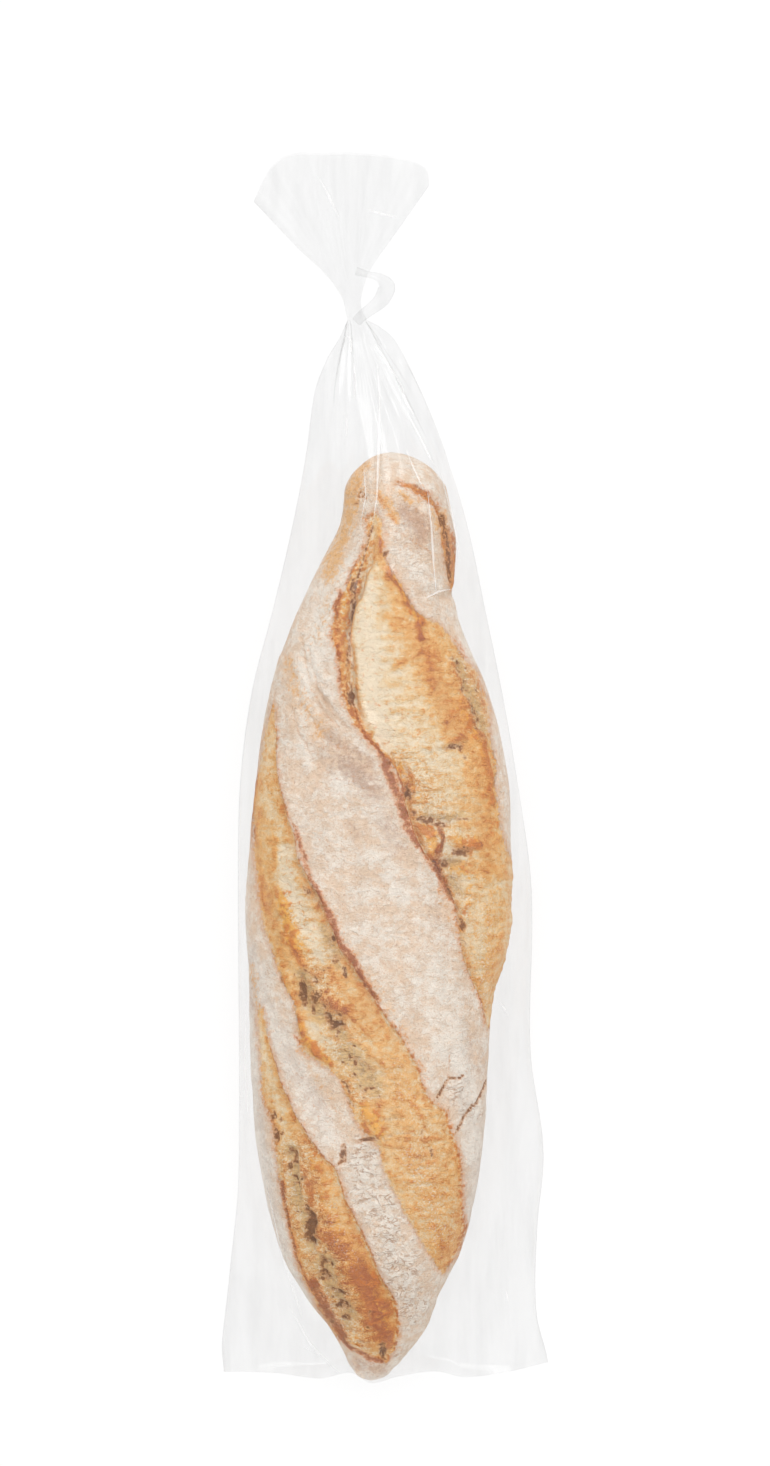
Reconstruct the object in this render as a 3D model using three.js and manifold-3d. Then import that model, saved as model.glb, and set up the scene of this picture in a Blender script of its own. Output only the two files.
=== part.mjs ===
// A bagged baguette, lying with its slashed top up: one closed body with the outer form of the
// clear bag. The flat bottom seam is at -Y, with the loaf's pointed tip against it. Past the
// loaf's knob the film gathers into a twisted neck with a slipped loop on its +X side, and the
// mouth flares out at +Y. Where the film lies on the loaf it follows the crust: three long
// slashes that wind round the loaf, each a torn trough beside a raised ear.
//
// Millimetres, +Z up, +X across. The underside rests on z = 0.

import * as THREE from 'three';
import loadManifold from 'manifold-3d';
import { mergeVertices } from 'three/addons/utils/BufferGeometryUtils.js';

// ---------------------------------------------------------------- driving dimensions

const BAG_LENGTH = 453.6; // bottom seam to the mouth's edge, as tied
const BAG_WIDTH = 120.6; // across the flat bottom corners
const LOAF_WIDTH = 101.6; // over the crust at its widest, with the film on it
const LOAF_HEIGHT = 52.8; // over the crust at its highest, with the film on it

const SEAM_Y = -BAG_LENGTH / 2;
const MOUTH_Y = BAG_LENGTH / 2;
const WAIST_Y = 165.4; // the tightest place, where the neck is tied
const NECK_Z = 8; // height of the tied neck's middle over the floor
const NECK_RADIUS = 3.6;
const FILM_EDGE = 0.55; // half of the least thickness, at the seam and the side creases
const SEAM_FADE = 30; // length over which the seam's waves die out

const EAR_HEIGHT = 1.6; // how far an ear's ridge stands over the skin beside it
const EAR_REACH = 3.2; // how far the ridge spreads from its edge
const TEAR_PLEAT = 0.55; // height of the ripples torn across a slash
const TEAR_PITCH = 12.5; // distance between those ripples along the loaf
const GATHER_DEPTH = 0.1; // pleats at the neck, as a share of the section's radius
const GATHER_COUNT = 9;
const GATHER_FROM = 84; // Y where the gathers begin

const COLUMNS_TOP = 32; // quads across the upper sheet, crease to crease
const COLUMNS_UNDER = 10;
const LOAF_ROW_PITCH = 3.9;
const NECK_ROW_PITCH = 5;
const FLARE_ROWS = 12;

// ---------------------------------------------------------------- stations along the bag
// Each list holds [y, value] pairs, and a smooth curve runs through them.

// the form that fills the bag, as shares of half of LOAF_WIDTH
const HALF_WIDTH = [
  [SEAM_Y, 0.05], [-222.7, 0.16], [-215, 0.26], [-207.6, 0.35], [-193, 0.515], [-178, 0.66],
  [-149, 0.807], [-119, 0.868], [-89, 0.89], [-60, 0.98], [-30, 1], [-1, 0.933], [29, 0.803],
  [58, 0.587], [88, 0.435], [103, 0.382], [116, 0.345], [131, 0.276], [144, 0.197],
  [155, 0.128], [WAIST_Y, NECK_RADIUS / (LOAF_WIDTH / 2)],
];

// its top, as shares of LOAF_HEIGHT
const TOP = [
  [SEAM_Y, 0.205], [-222.7, 0.35], [-215, 0.445], [-207.6, 0.55], [-193, 0.70], [-178, 0.815],
  [-149, 0.92], [-119, 0.957], [-60, 0.995], [-30, 1], [-1, 0.966], [29, 0.89], [58, 0.786],
  [88, 0.682], [103, 0.629], [116, 0.559], [131, 0.445], [144, 0.341], [155, 0.256],
  [WAIST_Y, (NECK_Z + NECK_RADIUS) / LOAF_HEIGHT],
];

// height of its widest place, mm
const WAIST_LINE_Z = [
  [SEAM_Y, 10], [-222.7, 10.5], [-207.6, 13], [-178, 19.3], [-119, 22.7], [-30, 23.8],
  [29, 21.1], [58, 18.7], [88, 16.2], [116, 13.8], [131, 12], [144, 10.3], [155, 8.8],
  [WAIST_Y, NECK_Z],
];

// its middle, mm to the side of the bag's centre line
const MIDDLE_X = [
  [SEAM_Y, -5.2], [-207.6, -2.6], [-193, -5], [-149, -5.4], [-119, -5.9], [-89, -5.2],
  [-60, -3.1], [-30, -3.1], [-1, -1.5], [29, -2.6], [58, -2.8], [88, 3.9], [103, 3.7],
  [116, 2.5], [131, -1.5], [144, -5], [155, -7.8], [WAIST_Y, -10.3],
];

// the bag's two side creases: where they run, and how high they lie
const LEFT_CREASE_X = [
  [SEAM_Y, -59.6], [-215, -BAG_WIDTH / 2], [-186, -57.4], [-149, -54], [-30, -54], [-1, -52.9],
  [29, -48.8], [58, -41.4], [88, -34.4], [118, -28.5], [140, -25.5], [151, -21], [158, -17],
  [WAIST_Y, -14.1],
];
const LEFT_CREASE_Z = [
  [SEAM_Y, 0.6], [-200, 2], [-170, 5], [-140, 12], [-100, 18], [-30, 22], [30, 20], [88, 12],
  [118, 9], [140, 8], [WAIST_Y, NECK_Z],
];
const RIGHT_CREASE_X = [
  [SEAM_Y, BAG_WIDTH / 2], [-200, 55.9], [-171, 56.2], [-141, 58.5], [-104, 53.7], [-45, 54],
  [-1, 48.1], [29, 42.9], [58, 37], [88, 30.7], [118, 22.2], [140, 13.3], [158, 2.2],
  [WAIST_Y, -6.3],
];
const RIGHT_CREASE_Z = [
  [SEAM_Y, 0.6], [-200, 2], [-170, 4], [-140, 7], [-100, 9], [-60, 13], [-30, 16], [30, 16],
  [88, 12], [118, 9], [140, 8], [WAIST_Y, NECK_Z],
];

// the bottom seam from corner to corner: [x, how far it draws back from SEAM_Y]
const SEAM_WAVE = [
  [-59.6, 3.5], [-41, 3.3], [-24, 1.5], [-12.6, 3.7], [-5.2, 0], [4.4, 2.2], [18.5, 4.1],
  [29.6, 1.8], [46, 3.7], [60.3, 7],
];

// ---------------------------------------------------------------- the three slashes
// Each runs down the loaf and to the right between two edges, given as [y, x] from its lower
// end up. `depth` is how far its trough lies under the skin, and `ear` is the edge that it
// tore away from: 0 the left one, 1 the right one.

const SLASHES = [
  {
    ear: 0,
    depth: 3.4,
    left: [[-95, 38], [-80, 32], [-64, 26.3], [-47, 23], [-30, 17.4], [-16, 7], [2, 1],
      [14, -10.4], [29, -16.3], [47, -19.2], [60, -17.4], [72, -12.2], [92, -4.4]],
    right: [[-95, 39.5], [-75, 43], [-45, 47], [-1, 44], [14, 41.4], [35, 31.5], [49, 24],
      [57, 12.2], [71, 2.6], [92, -1.6]],
  },
  {
    ear: 1,
    depth: 3.6,
    left: [[-186, 20.4], [-173, 13], [-145, -0.4], [-126, -10.7], [-115, -16.7], [-102, -30],
      [-84, -35], [-65, -42], [-43, -47], [-23, -48.5], [3, -45.5], [25, -41.8]],
    right: [[-186, 21.6], [-171, 29.2], [-147, 28], [-126, 23.3], [-115, 14.4], [-96, 6.3],
      [-78, -5.6], [-65, -14.8], [-49, -22], [-28, -31.5], [1, -38], [25, -39.6]],
  },
  {
    ear: 0,
    depth: 3,
    left: [[-218, 0], [-212, -13], [-203, -22.2], [-188, -29.6], [-171, -34.4], [-152, -39],
      [-128, -41.8], [-108, -45.5], [-90, -46.3]],
    right: [[-218, 1.1], [-210, 5.6], [-197, 4.8], [-184, -1.1], [-171, -7.4], [-156, -14],
      [-141, -22.2], [-126, -31.5], [-108, -39], [-90, -44.4]],
  },
];

// ---------------------------------------------------------------- the neck, loop and mouth

const NECK_HALF_WIDTH = [[WAIST_Y, NECK_RADIUS], [169.5, 3.1], [175, 3.5], [179, 4.3], [186, 7]];
const NECK_MIDDLE_X = [[WAIST_Y, -10.3], [169.5, -11.7], [175, -12.4], [179, -13.1], [186, -12.6]];
const NECK_TOP_Y = 186;

// the flared mouth is a fan of pleats about this point
const FAN = { x: -13.7, y: 172.4, from: 6, left: -43.5, right: 35.2 };
// [angle from +Y in degrees, distance from the fan's point to the mouth's edge]
const MOUTH_RADIUS = [[-43.5, 50.5], [-25, 57.9], [-10, 55.2], [5, 54.3], [20, 55.9], [31, 56.4],
  [35.2, 52]];
const MOUTH_HALF_HEIGHT = 6; // half of the gap between the two sheets at the mouth
const MOUTH_WAVE = 1.4; // how far the mouth's edge waves up and down
const MOUTH_WAVES = 3;

// the slipped loop of film beside the neck: middle line, half width and half height
const LOOP = [
  { x: -10.7, y: 183.5, half: 1.5, height: 1.6 },
  { x: -6.3, y: 182.2, half: 1.2, height: 1.7 },
  { x: -1.9, y: 180.8, half: 1.7, height: 2 },
  { x: 0.7, y: 177.6, half: 3.2, height: 2.4 },
  { x: -1.1, y: 173.2, half: 2.8, height: 2.4 },
  { x: -4.8, y: 169.8, half: 2.3, height: 2.2 },
  { x: -8.5, y: 166.8, half: 2, height: 2 },
  { x: -10.7, y: 164.5, half: 1.8, height: 1.8 },
];
const LOOP_ROWS = 22;
const LOOP_SIDES = 10;

// ---------------------------------------------------------------- helpers

const mix = THREE.MathUtils.lerp;
const smooth = THREE.MathUtils.smoothstep;

/** The value at `at` of a smooth curve through [at, value] stations, held level past its ends. */
function through(stations, at) {
  const last = stations.length - 1;
  if (at <= stations[0][0]) return stations[0][1];
  if (at >= stations[last][0]) return stations[last][1];
  let i = 0;
  while (at > stations[i + 1][0]) i += 1;
  const slope = (k) => {
    const before = stations[Math.max(k - 1, 0)];
    const after = stations[Math.min(k + 1, last)];
    return (after[1] - before[1]) / (after[0] - before[0]);
  };
  const span = stations[i + 1][0] - stations[i][0];
  const t = (at - stations[i][0]) / span;
  const bend = t * t * (3 - 2 * t);
  const leave = t * (1 - t) * (1 - t) * span * slope(i);
  const arrive = t * t * (t - 1) * span * slope(i + 1);
  return mix(stations[i][1], stations[i + 1][1], bend) + leave + arrive;
}

/** `count` + 1 points evenly spaced along a chain of 2-D points. */
function evenly(chain, count) {
  const run = [0];
  for (let i = 1; i < chain.length; i += 1) {
    run.push(run[i - 1] + chain[i].distanceTo(chain[i - 1]));
  }
  const points = [];
  let i = 0;
  for (let k = 0; k <= count; k += 1) {
    const goal = (run[run.length - 1] * k) / count;
    while (i < chain.length - 2 && run[i + 1] < goal) i += 1;
    const share = (goal - run[i]) / (run[i + 1] - run[i]);
    points.push(chain[i].clone().lerp(chain[i + 1], share));
  }
  return points;
}

// ---------------------------------------------------------------- the section round the loaf

/** How far the hull of a unit circle and one point outside it reaches at an angle. */
function hullReach(angle, point) {
  const distance = point.length();
  if (distance <= 1) return 1;
  const spread = Math.acos(1 / distance);
  const away = Math.abs(Math.atan2(Math.sin(angle - point.angle()), Math.cos(angle - point.angle())));
  if (away >= spread) return 1;
  return 1 / Math.cos(spread - away);
}

/** How far the crust under the film stands over or under the plain loaf at (x, y). */
function cragHeight(x, y) {
  let height = 0;
  for (const slash of SLASHES) {
    const top = Math.min(slash.left.at(-1)[0], slash.right.at(-1)[0]);
    if (y < slash.left[0][0] || y > top) continue;
    const left = through(slash.left, y);
    const right = through(slash.right, y);
    const width = Math.max(right - left, 0.5);
    const fromEar = slash.ear === 0 ? x - left : right - x;
    const across = fromEar / width;
    const size = smooth(width, 1, 16);
    if (across > 0 && across < 1) {
      const trough = Math.sin(Math.PI * Math.pow(across, 0.7));
      const ripple = Math.sin((2 * Math.PI * (y + 0.35 * x)) / TEAR_PITCH);
      height -= size * trough * (slash.depth - TEAR_PLEAT * ripple);
    } else if (across <= 0) {
      height += size * EAR_HEIGHT * Math.exp(-((fromEar / EAR_REACH) ** 2));
    }
  }
  return height;
}

/** One closed ring of film round the bag at y: the upper sheet from the right, then the under. */
function bodyRing(y) {
  const middle = new THREE.Vector2(through(MIDDLE_X, y), through(WAIST_LINE_Z, y));
  const across = (through(HALF_WIDTH, y) * LOAF_WIDTH) / 2;
  const rise = through(TOP, y) * LOAF_HEIGHT - middle.y;
  const size = new THREE.Vector2(across, rise);
  const rightCrease = new THREE.Vector2(through(RIGHT_CREASE_X, y), through(RIGHT_CREASE_Z, y));
  const leftCrease = new THREE.Vector2(through(LEFT_CREASE_X, y), through(LEFT_CREASE_Z, y));
  const rightPoint = rightCrease.clone().sub(middle).divide(size);
  const leftPoint = leftCrease.clone().sub(middle).divide(size);
  const gather = GATHER_DEPTH * smooth(y, GATHER_FROM, WAIST_Y);

  const film = (angle) => {
    const hull = Math.max(hullReach(angle, rightPoint), hullReach(angle, leftPoint));
    const reach = hull * (1 + gather * Math.cos(GATHER_COUNT * angle));
    const point = new THREE.Vector2(Math.cos(angle), Math.sin(angle)).multiplyScalar(reach);
    return point.multiply(size).add(middle);
  };
  const sweep = (from, to) => {
    const steps = 160;
    const chain = [];
    for (let i = 0; i <= steps; i += 1) chain.push(film(mix(from, to, i / steps)));
    return chain;
  };
  const from = Math.atan2(rightPoint.y, rightPoint.x);
  const over = (Math.atan2(leftPoint.y, leftPoint.x) + 2 * Math.PI) % (2 * Math.PI);
  const upper = evenly(sweep(from, over), COLUMNS_TOP);
  const under = evenly(sweep(over, from + 2 * Math.PI), COLUMNS_UNDER);

  const fade = 1 - smooth(y, SEAM_Y, SEAM_Y + SEAM_FADE);
  const place = (point, side) => {
    const slack = Math.min(1, Math.abs(point.x - middle.x) / across);
    const crag = side > 0 ? cragHeight(point.x, y) * (1 - slack ** 6) : 0;
    const out = point.clone().sub(middle).divide(size).normalize();
    const x = point.x + out.x * crag;
    const z = point.y + out.y * crag + side * FILM_EDGE;
    const drawn = fade * through(SEAM_WAVE, x);
    return new THREE.Vector3(x, y + drawn, Math.max(z, 0));
  };
  const ring = upper.slice(0, -1).map((point, i) => place(point, i === 0 ? 0 : 1));
  ring.push(...under.slice(0, -1).map((point, i) => place(point, i === 0 ? 0 : -1)));
  return ring;
}

// ---------------------------------------------------------------- the neck and the mouth

/** One closed ring of the neck and the flared mouth, `w` from 0 at the waist to 1 at the edge. */
function flareRing(w) {
  const neckY = mix(WAIST_Y, NECK_TOP_Y, Math.min(1, 2.2 * w));
  const open = smooth(w, 0.1, 0.45);
  const halfHeight = mix(NECK_RADIUS, MOUTH_HALF_HEIGHT, w);
  const place = (u, side) => {
    const degrees = mix(FAN.left, FAN.right, (u + 1) / 2);
    const turn = THREE.MathUtils.degToRad(degrees);
    const far = mix(FAN.from, through(MOUTH_RADIUS, degrees), w);
    const fan = new THREE.Vector2(FAN.x + far * Math.sin(turn), FAN.y + far * Math.cos(turn));
    const neckX = through(NECK_MIDDLE_X, neckY) + u * through(NECK_HALF_WIDTH, neckY);
    const at = new THREE.Vector2(neckX, neckY).lerp(fan, open);
    const round = Math.sqrt(Math.max(0, 1 - u * u));
    const wave = MOUTH_WAVE * w * Math.sin(MOUTH_WAVES * Math.PI * u);
    const z = NECK_Z + wave + side * (halfHeight * round + FILM_EDGE);
    return new THREE.Vector3(at.x, at.y, Math.max(z, 0));
  };
  const spread = (share) => mix(Math.cos(Math.PI * share), 1 - 2 * share, open);
  const ring = [];
  for (let i = 0; i < COLUMNS_TOP; i += 1) ring.push(place(spread(i / COLUMNS_TOP), i ? 1 : 0));
  for (let i = 0; i < COLUMNS_UNDER; i += 1) {
    ring.push(place(-spread(i / COLUMNS_UNDER), i ? -1 : 0));
  }
  return ring;
}

/** One closed ring of the slipped loop, `t` from 0 under the mouth to 1 at the waist. */
function loopRing(t) {
  const span = LOOP.length - 1;
  const alongPath = (key) => through(LOOP.map((stop, i) => [i / span, stop[key]]), t);
  const line = new THREE.CatmullRomCurve3(LOOP.map((stop) => new THREE.Vector3(stop.x, stop.y, NECK_Z)));
  const centre = line.getPoint(t);
  const along = line.getTangent(t);
  const side = along.clone().cross(new THREE.Vector3(0, 0, 1)).normalize();
  const ring = [];
  for (let i = 0; i < LOOP_SIDES; i += 1) {
    const angle = (2 * Math.PI * i) / LOOP_SIDES;
    const point = centre.clone().addScaledVector(side, alongPath('half') * Math.cos(angle));
    point.z += alongPath('height') * Math.sin(angle);
    ring.push(point);
  }
  return ring;
}

// ---------------------------------------------------------------- rings to a closed body

/** Triangles that close one end: zipped across from the ring's first point to the far one. */
function zipEnd(ringStart, size, farIndex) {
  const faces = [];
  let top = 1;
  let under = size;
  while (under - top > 1) {
    const topShare = top / farIndex;
    const underShare = (size - under) / (size - farIndex);
    const turnTop = top < farIndex && (topShare <= underShare || under - 1 <= farIndex);
    if (turnTop) {
      faces.push([under % size, top, top + 1]);
      top += 1;
    } else {
      faces.push([top, under - 1, under % size]);
      under -= 1;
    }
  }
  return faces.map((face) => face.map((corner) => ringStart + corner));
}

/** A closed geometry skinned over rings of equal count, with both ends zipped shut. */
function loft(rings, farIndex) {
  const size = rings[0].length;
  const index = [];
  for (let row = 0; row < rings.length - 1; row += 1) {
    for (let i = 0; i < size; i += 1) {
      const next = (i + 1) % size;
      const a = row * size + i;
      const b = a + size;
      const c = row * size + next;
      const d = c + size;
      index.push(a, b, c, c, b, d);
    }
  }
  for (const face of zipEnd(0, size, farIndex)) index.push(...face);
  for (const face of zipEnd((rings.length - 1) * size, size, farIndex)) index.push(...face.reverse());
  const geometry = new THREE.BufferGeometry().setFromPoints(rings.flat());
  geometry.setIndex(index);
  return geometry;
}

/** The geometry's triangles as a solid that can be joined. */
function toSolid(wasm, geometry) {
  const merged = mergeVertices(geometry, 1e-4);
  const mesh = new wasm.Mesh({
    numProp: 3,
    vertProperties: new Float32Array(merged.getAttribute('position').array),
    triVerts: new Uint32Array(merged.getIndex().array),
  });
  return new wasm.Manifold(mesh);
}

/** A joined solid's triangles as a three.js geometry. */
function toGeometry(solid) {
  const { vertProperties, triVerts } = solid.getMesh();
  const geometry = new THREE.BufferGeometry();
  geometry.setAttribute('position', new THREE.BufferAttribute(vertProperties, 3));
  geometry.setIndex(new THREE.BufferAttribute(triVerts, 1));
  geometry.computeVertexNormals();
  return geometry;
}

// ---------------------------------------------------------------- the bag

const KNOB_Y = 118; // where the loaf ends and the empty film begins

function bagRings() {
  const rings = [];
  const loafRows = Math.round((KNOB_Y - SEAM_Y) / LOAF_ROW_PITCH);
  for (let row = 0; row < loafRows; row += 1) {
    rings.push(bodyRing(mix(SEAM_Y, KNOB_Y, row / loafRows)));
  }
  const neckRows = Math.round((WAIST_Y - KNOB_Y) / NECK_ROW_PITCH);
  for (let row = 0; row < neckRows; row += 1) {
    rings.push(bodyRing(mix(KNOB_Y, WAIST_Y, row / neckRows)));
  }
  for (let row = 0; row <= FLARE_ROWS; row += 1) rings.push(flareRing(row / FLARE_ROWS));
  return rings;
}

function loopRings() {
  const rings = [];
  for (let row = 0; row <= LOOP_ROWS; row += 1) rings.push(loopRing(row / LOOP_ROWS));
  return rings;
}

const wasm = await loadManifold();
wasm.setup();
const bagSolid = toSolid(wasm, loft(bagRings(), COLUMNS_TOP));
const loopSolid = toSolid(wasm, loft(loopRings(), LOOP_SIDES / 2));

const breadUnderFilm = new THREE.MeshStandardMaterial({
  color: 0xdcbf9a,
  roughness: 0.45,
  metalness: 0,
});
const bag = new THREE.Mesh(toGeometry(bagSolid.add(loopSolid)), breadUnderFilm);
bag.name = 'bagged_baguette';

const group = new THREE.Group();
group.add(bag);

export default group;
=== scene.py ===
import functools
import math
from types import SimpleNamespace

import bpy
import numpy as np
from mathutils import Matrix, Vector
from mathutils.bvhtree import BVHTree


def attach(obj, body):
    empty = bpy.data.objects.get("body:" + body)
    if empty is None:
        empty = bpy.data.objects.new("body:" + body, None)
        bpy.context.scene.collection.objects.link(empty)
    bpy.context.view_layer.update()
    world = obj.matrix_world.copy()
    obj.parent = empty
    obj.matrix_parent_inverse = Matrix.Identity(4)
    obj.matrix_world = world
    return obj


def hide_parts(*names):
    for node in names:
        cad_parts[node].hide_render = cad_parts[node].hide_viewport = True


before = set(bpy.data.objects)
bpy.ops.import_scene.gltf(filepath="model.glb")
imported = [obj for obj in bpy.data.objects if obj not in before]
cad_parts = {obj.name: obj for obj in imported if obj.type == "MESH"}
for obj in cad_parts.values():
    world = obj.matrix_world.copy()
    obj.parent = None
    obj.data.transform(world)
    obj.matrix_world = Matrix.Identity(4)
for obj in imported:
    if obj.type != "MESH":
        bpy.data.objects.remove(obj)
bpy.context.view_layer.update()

# A baguette in a clear film bag, seen from straight above. Lengths are in mm until a mesh is
# made; +X is across, +Y along the bag towards its knot, and +Z up from the floor.

MM = 0.001
PHOTO_WIDTH, PHOTO_HEIGHT = 770, 1466
MM_PER_PIXEL = 0.37  # in the photo, at the bag
PHOTO_MIDDLE_Y = 12.95  # where the photo's middle lies, up from the middle of the bag
BAG_NODE = "bagged_baguette"
BAG_LENGTH = 453.6
LOAF_WIDTH = 101.6
LOAF_HEIGHT = 52.8
SEAM_Y = -BAG_LENGTH / 2
WAIST_Y = 165.4
NECK_Z = 8.0
NECK_RADIUS = 3.6

# ---------------------------------------------------------------- stations along the bag
# (y, value) pairs that smooth curves run through, as in the part's own source

HALF_WIDTH = [  # shares of half of LOAF_WIDTH
    (SEAM_Y, 0.05), (-222.7, 0.16), (-215, 0.26), (-207.6, 0.35), (-193, 0.515), (-178, 0.66),
    (-149, 0.807), (-119, 0.868), (-89, 0.89), (-60, 0.972), (-30, 0.965), (-1, 0.925), (29, 0.803),
    (58, 0.587), (88, 0.435), (103, 0.382), (116, 0.345), (131, 0.276), (144, 0.197),
    (155, 0.128), (WAIST_Y, NECK_RADIUS / (LOAF_WIDTH / 2)),
]
TOP = [  # shares of LOAF_HEIGHT
    (SEAM_Y, 0.205), (-222.7, 0.35), (-215, 0.445), (-207.6, 0.55), (-193, 0.70), (-178, 0.815),
    (-149, 0.92), (-119, 0.957), (-60, 0.995), (-30, 1), (-1, 0.966), (29, 0.89), (58, 0.786),
    (88, 0.682), (103, 0.629), (116, 0.559), (131, 0.445), (144, 0.341), (155, 0.256),
    (WAIST_Y, (NECK_Z + NECK_RADIUS) / LOAF_HEIGHT),
]
WAIST_LINE_Z = [
    (SEAM_Y, 10), (-222.7, 10.5), (-207.6, 13), (-178, 19.3), (-119, 22.7), (-30, 23.8),
    (29, 21.1), (58, 18.7), (88, 16.2), (116, 13.8), (131, 12), (144, 10.3), (155, 8.8),
    (WAIST_Y, NECK_Z),
]
MIDDLE_X = [
    (SEAM_Y, -5.2), (-207.6, -2.6), (-193, -5), (-149, -5.4), (-119, -5.9), (-89, -5.2),
    (-60, -2.7), (-30, -1.5), (-1, -1.2), (29, -2.6), (58, -2.8), (88, 3.9), (103, 3.7),
    (116, 2.5), (131, -1.5), (144, -5), (155, -7.8), (WAIST_Y, -10.3),
]
LEFT_CREASE_X = [
    (SEAM_Y, -59.6), (-215, -60.3), (-186, -57.4), (-149, -54), (-30, -54), (-1, -52.9),
    (29, -48.8), (58, -41.4), (88, -34.4), (118, -28.5), (140, -25.5), (151, -21), (158, -17),
    (WAIST_Y, -14.1),
]
LEFT_CREASE_Z = [
    (SEAM_Y, 0.6), (-200, 2), (-170, 5), (-140, 12), (-100, 18), (-30, 22), (30, 20), (88, 12),
    (118, 9), (140, 8), (WAIST_Y, NECK_Z),
]
RIGHT_CREASE_X = [
    (SEAM_Y, 60.3), (-200, 55.9), (-171, 56.2), (-141, 58.5), (-104, 53.7), (-45, 54),
    (-1, 48.1), (29, 42.9), (58, 37), (88, 30.7), (118, 22.2), (140, 13.3), (158, 2.2),
    (WAIST_Y, -6.3),
]
RIGHT_CREASE_Z = [
    (SEAM_Y, 0.6), (-200, 2), (-170, 4), (-140, 7), (-100, 9), (-60, 13), (-30, 16), (30, 16),
    (88, 12), (118, 9), (140, 8), (WAIST_Y, NECK_Z),
]
SEAM_WAVE = [  # (x, how far the seam draws back from SEAM_Y)
    (-59.6, 3.5), (-41, 3.3), (-24, 1.5), (-12.6, 3.7), (-5.2, 0), (4.4, 2.2), (18.5, 4.1),
    (29.6, 1.8), (46, 3.7), (60.3, 7),
]

# ---------------------------------------------------------------- the loaf's own numbers

FILM_GAP = 0.9  # between the smooth loaf and the film round it
LOAF_TIP_Y = -225.6
LOAF_KNOB_Y = 116.2
TIP_ROUND = 6.0
KNOB_ROUND = 15.0
TIP_LEAST = 8.0
REST_Z = 0.6  # the loaf's flat underside, over the film
POLE_OUT = 0.3  # how far the closing point stands out at each end
LOAF_PITCH = 0.86  # mm between rows
TIP_ROWS = 9
KNOB_ROWS = 18
TIP_FIRST, KNOB_FIRST = 0.12, 0.09  # how far round its end's quarter turn the first row lies
ARC_STEPS = 361
LOAF_COLUMNS_TOP = 170
LOAF_COLUMNS_UNDER = 58

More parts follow.
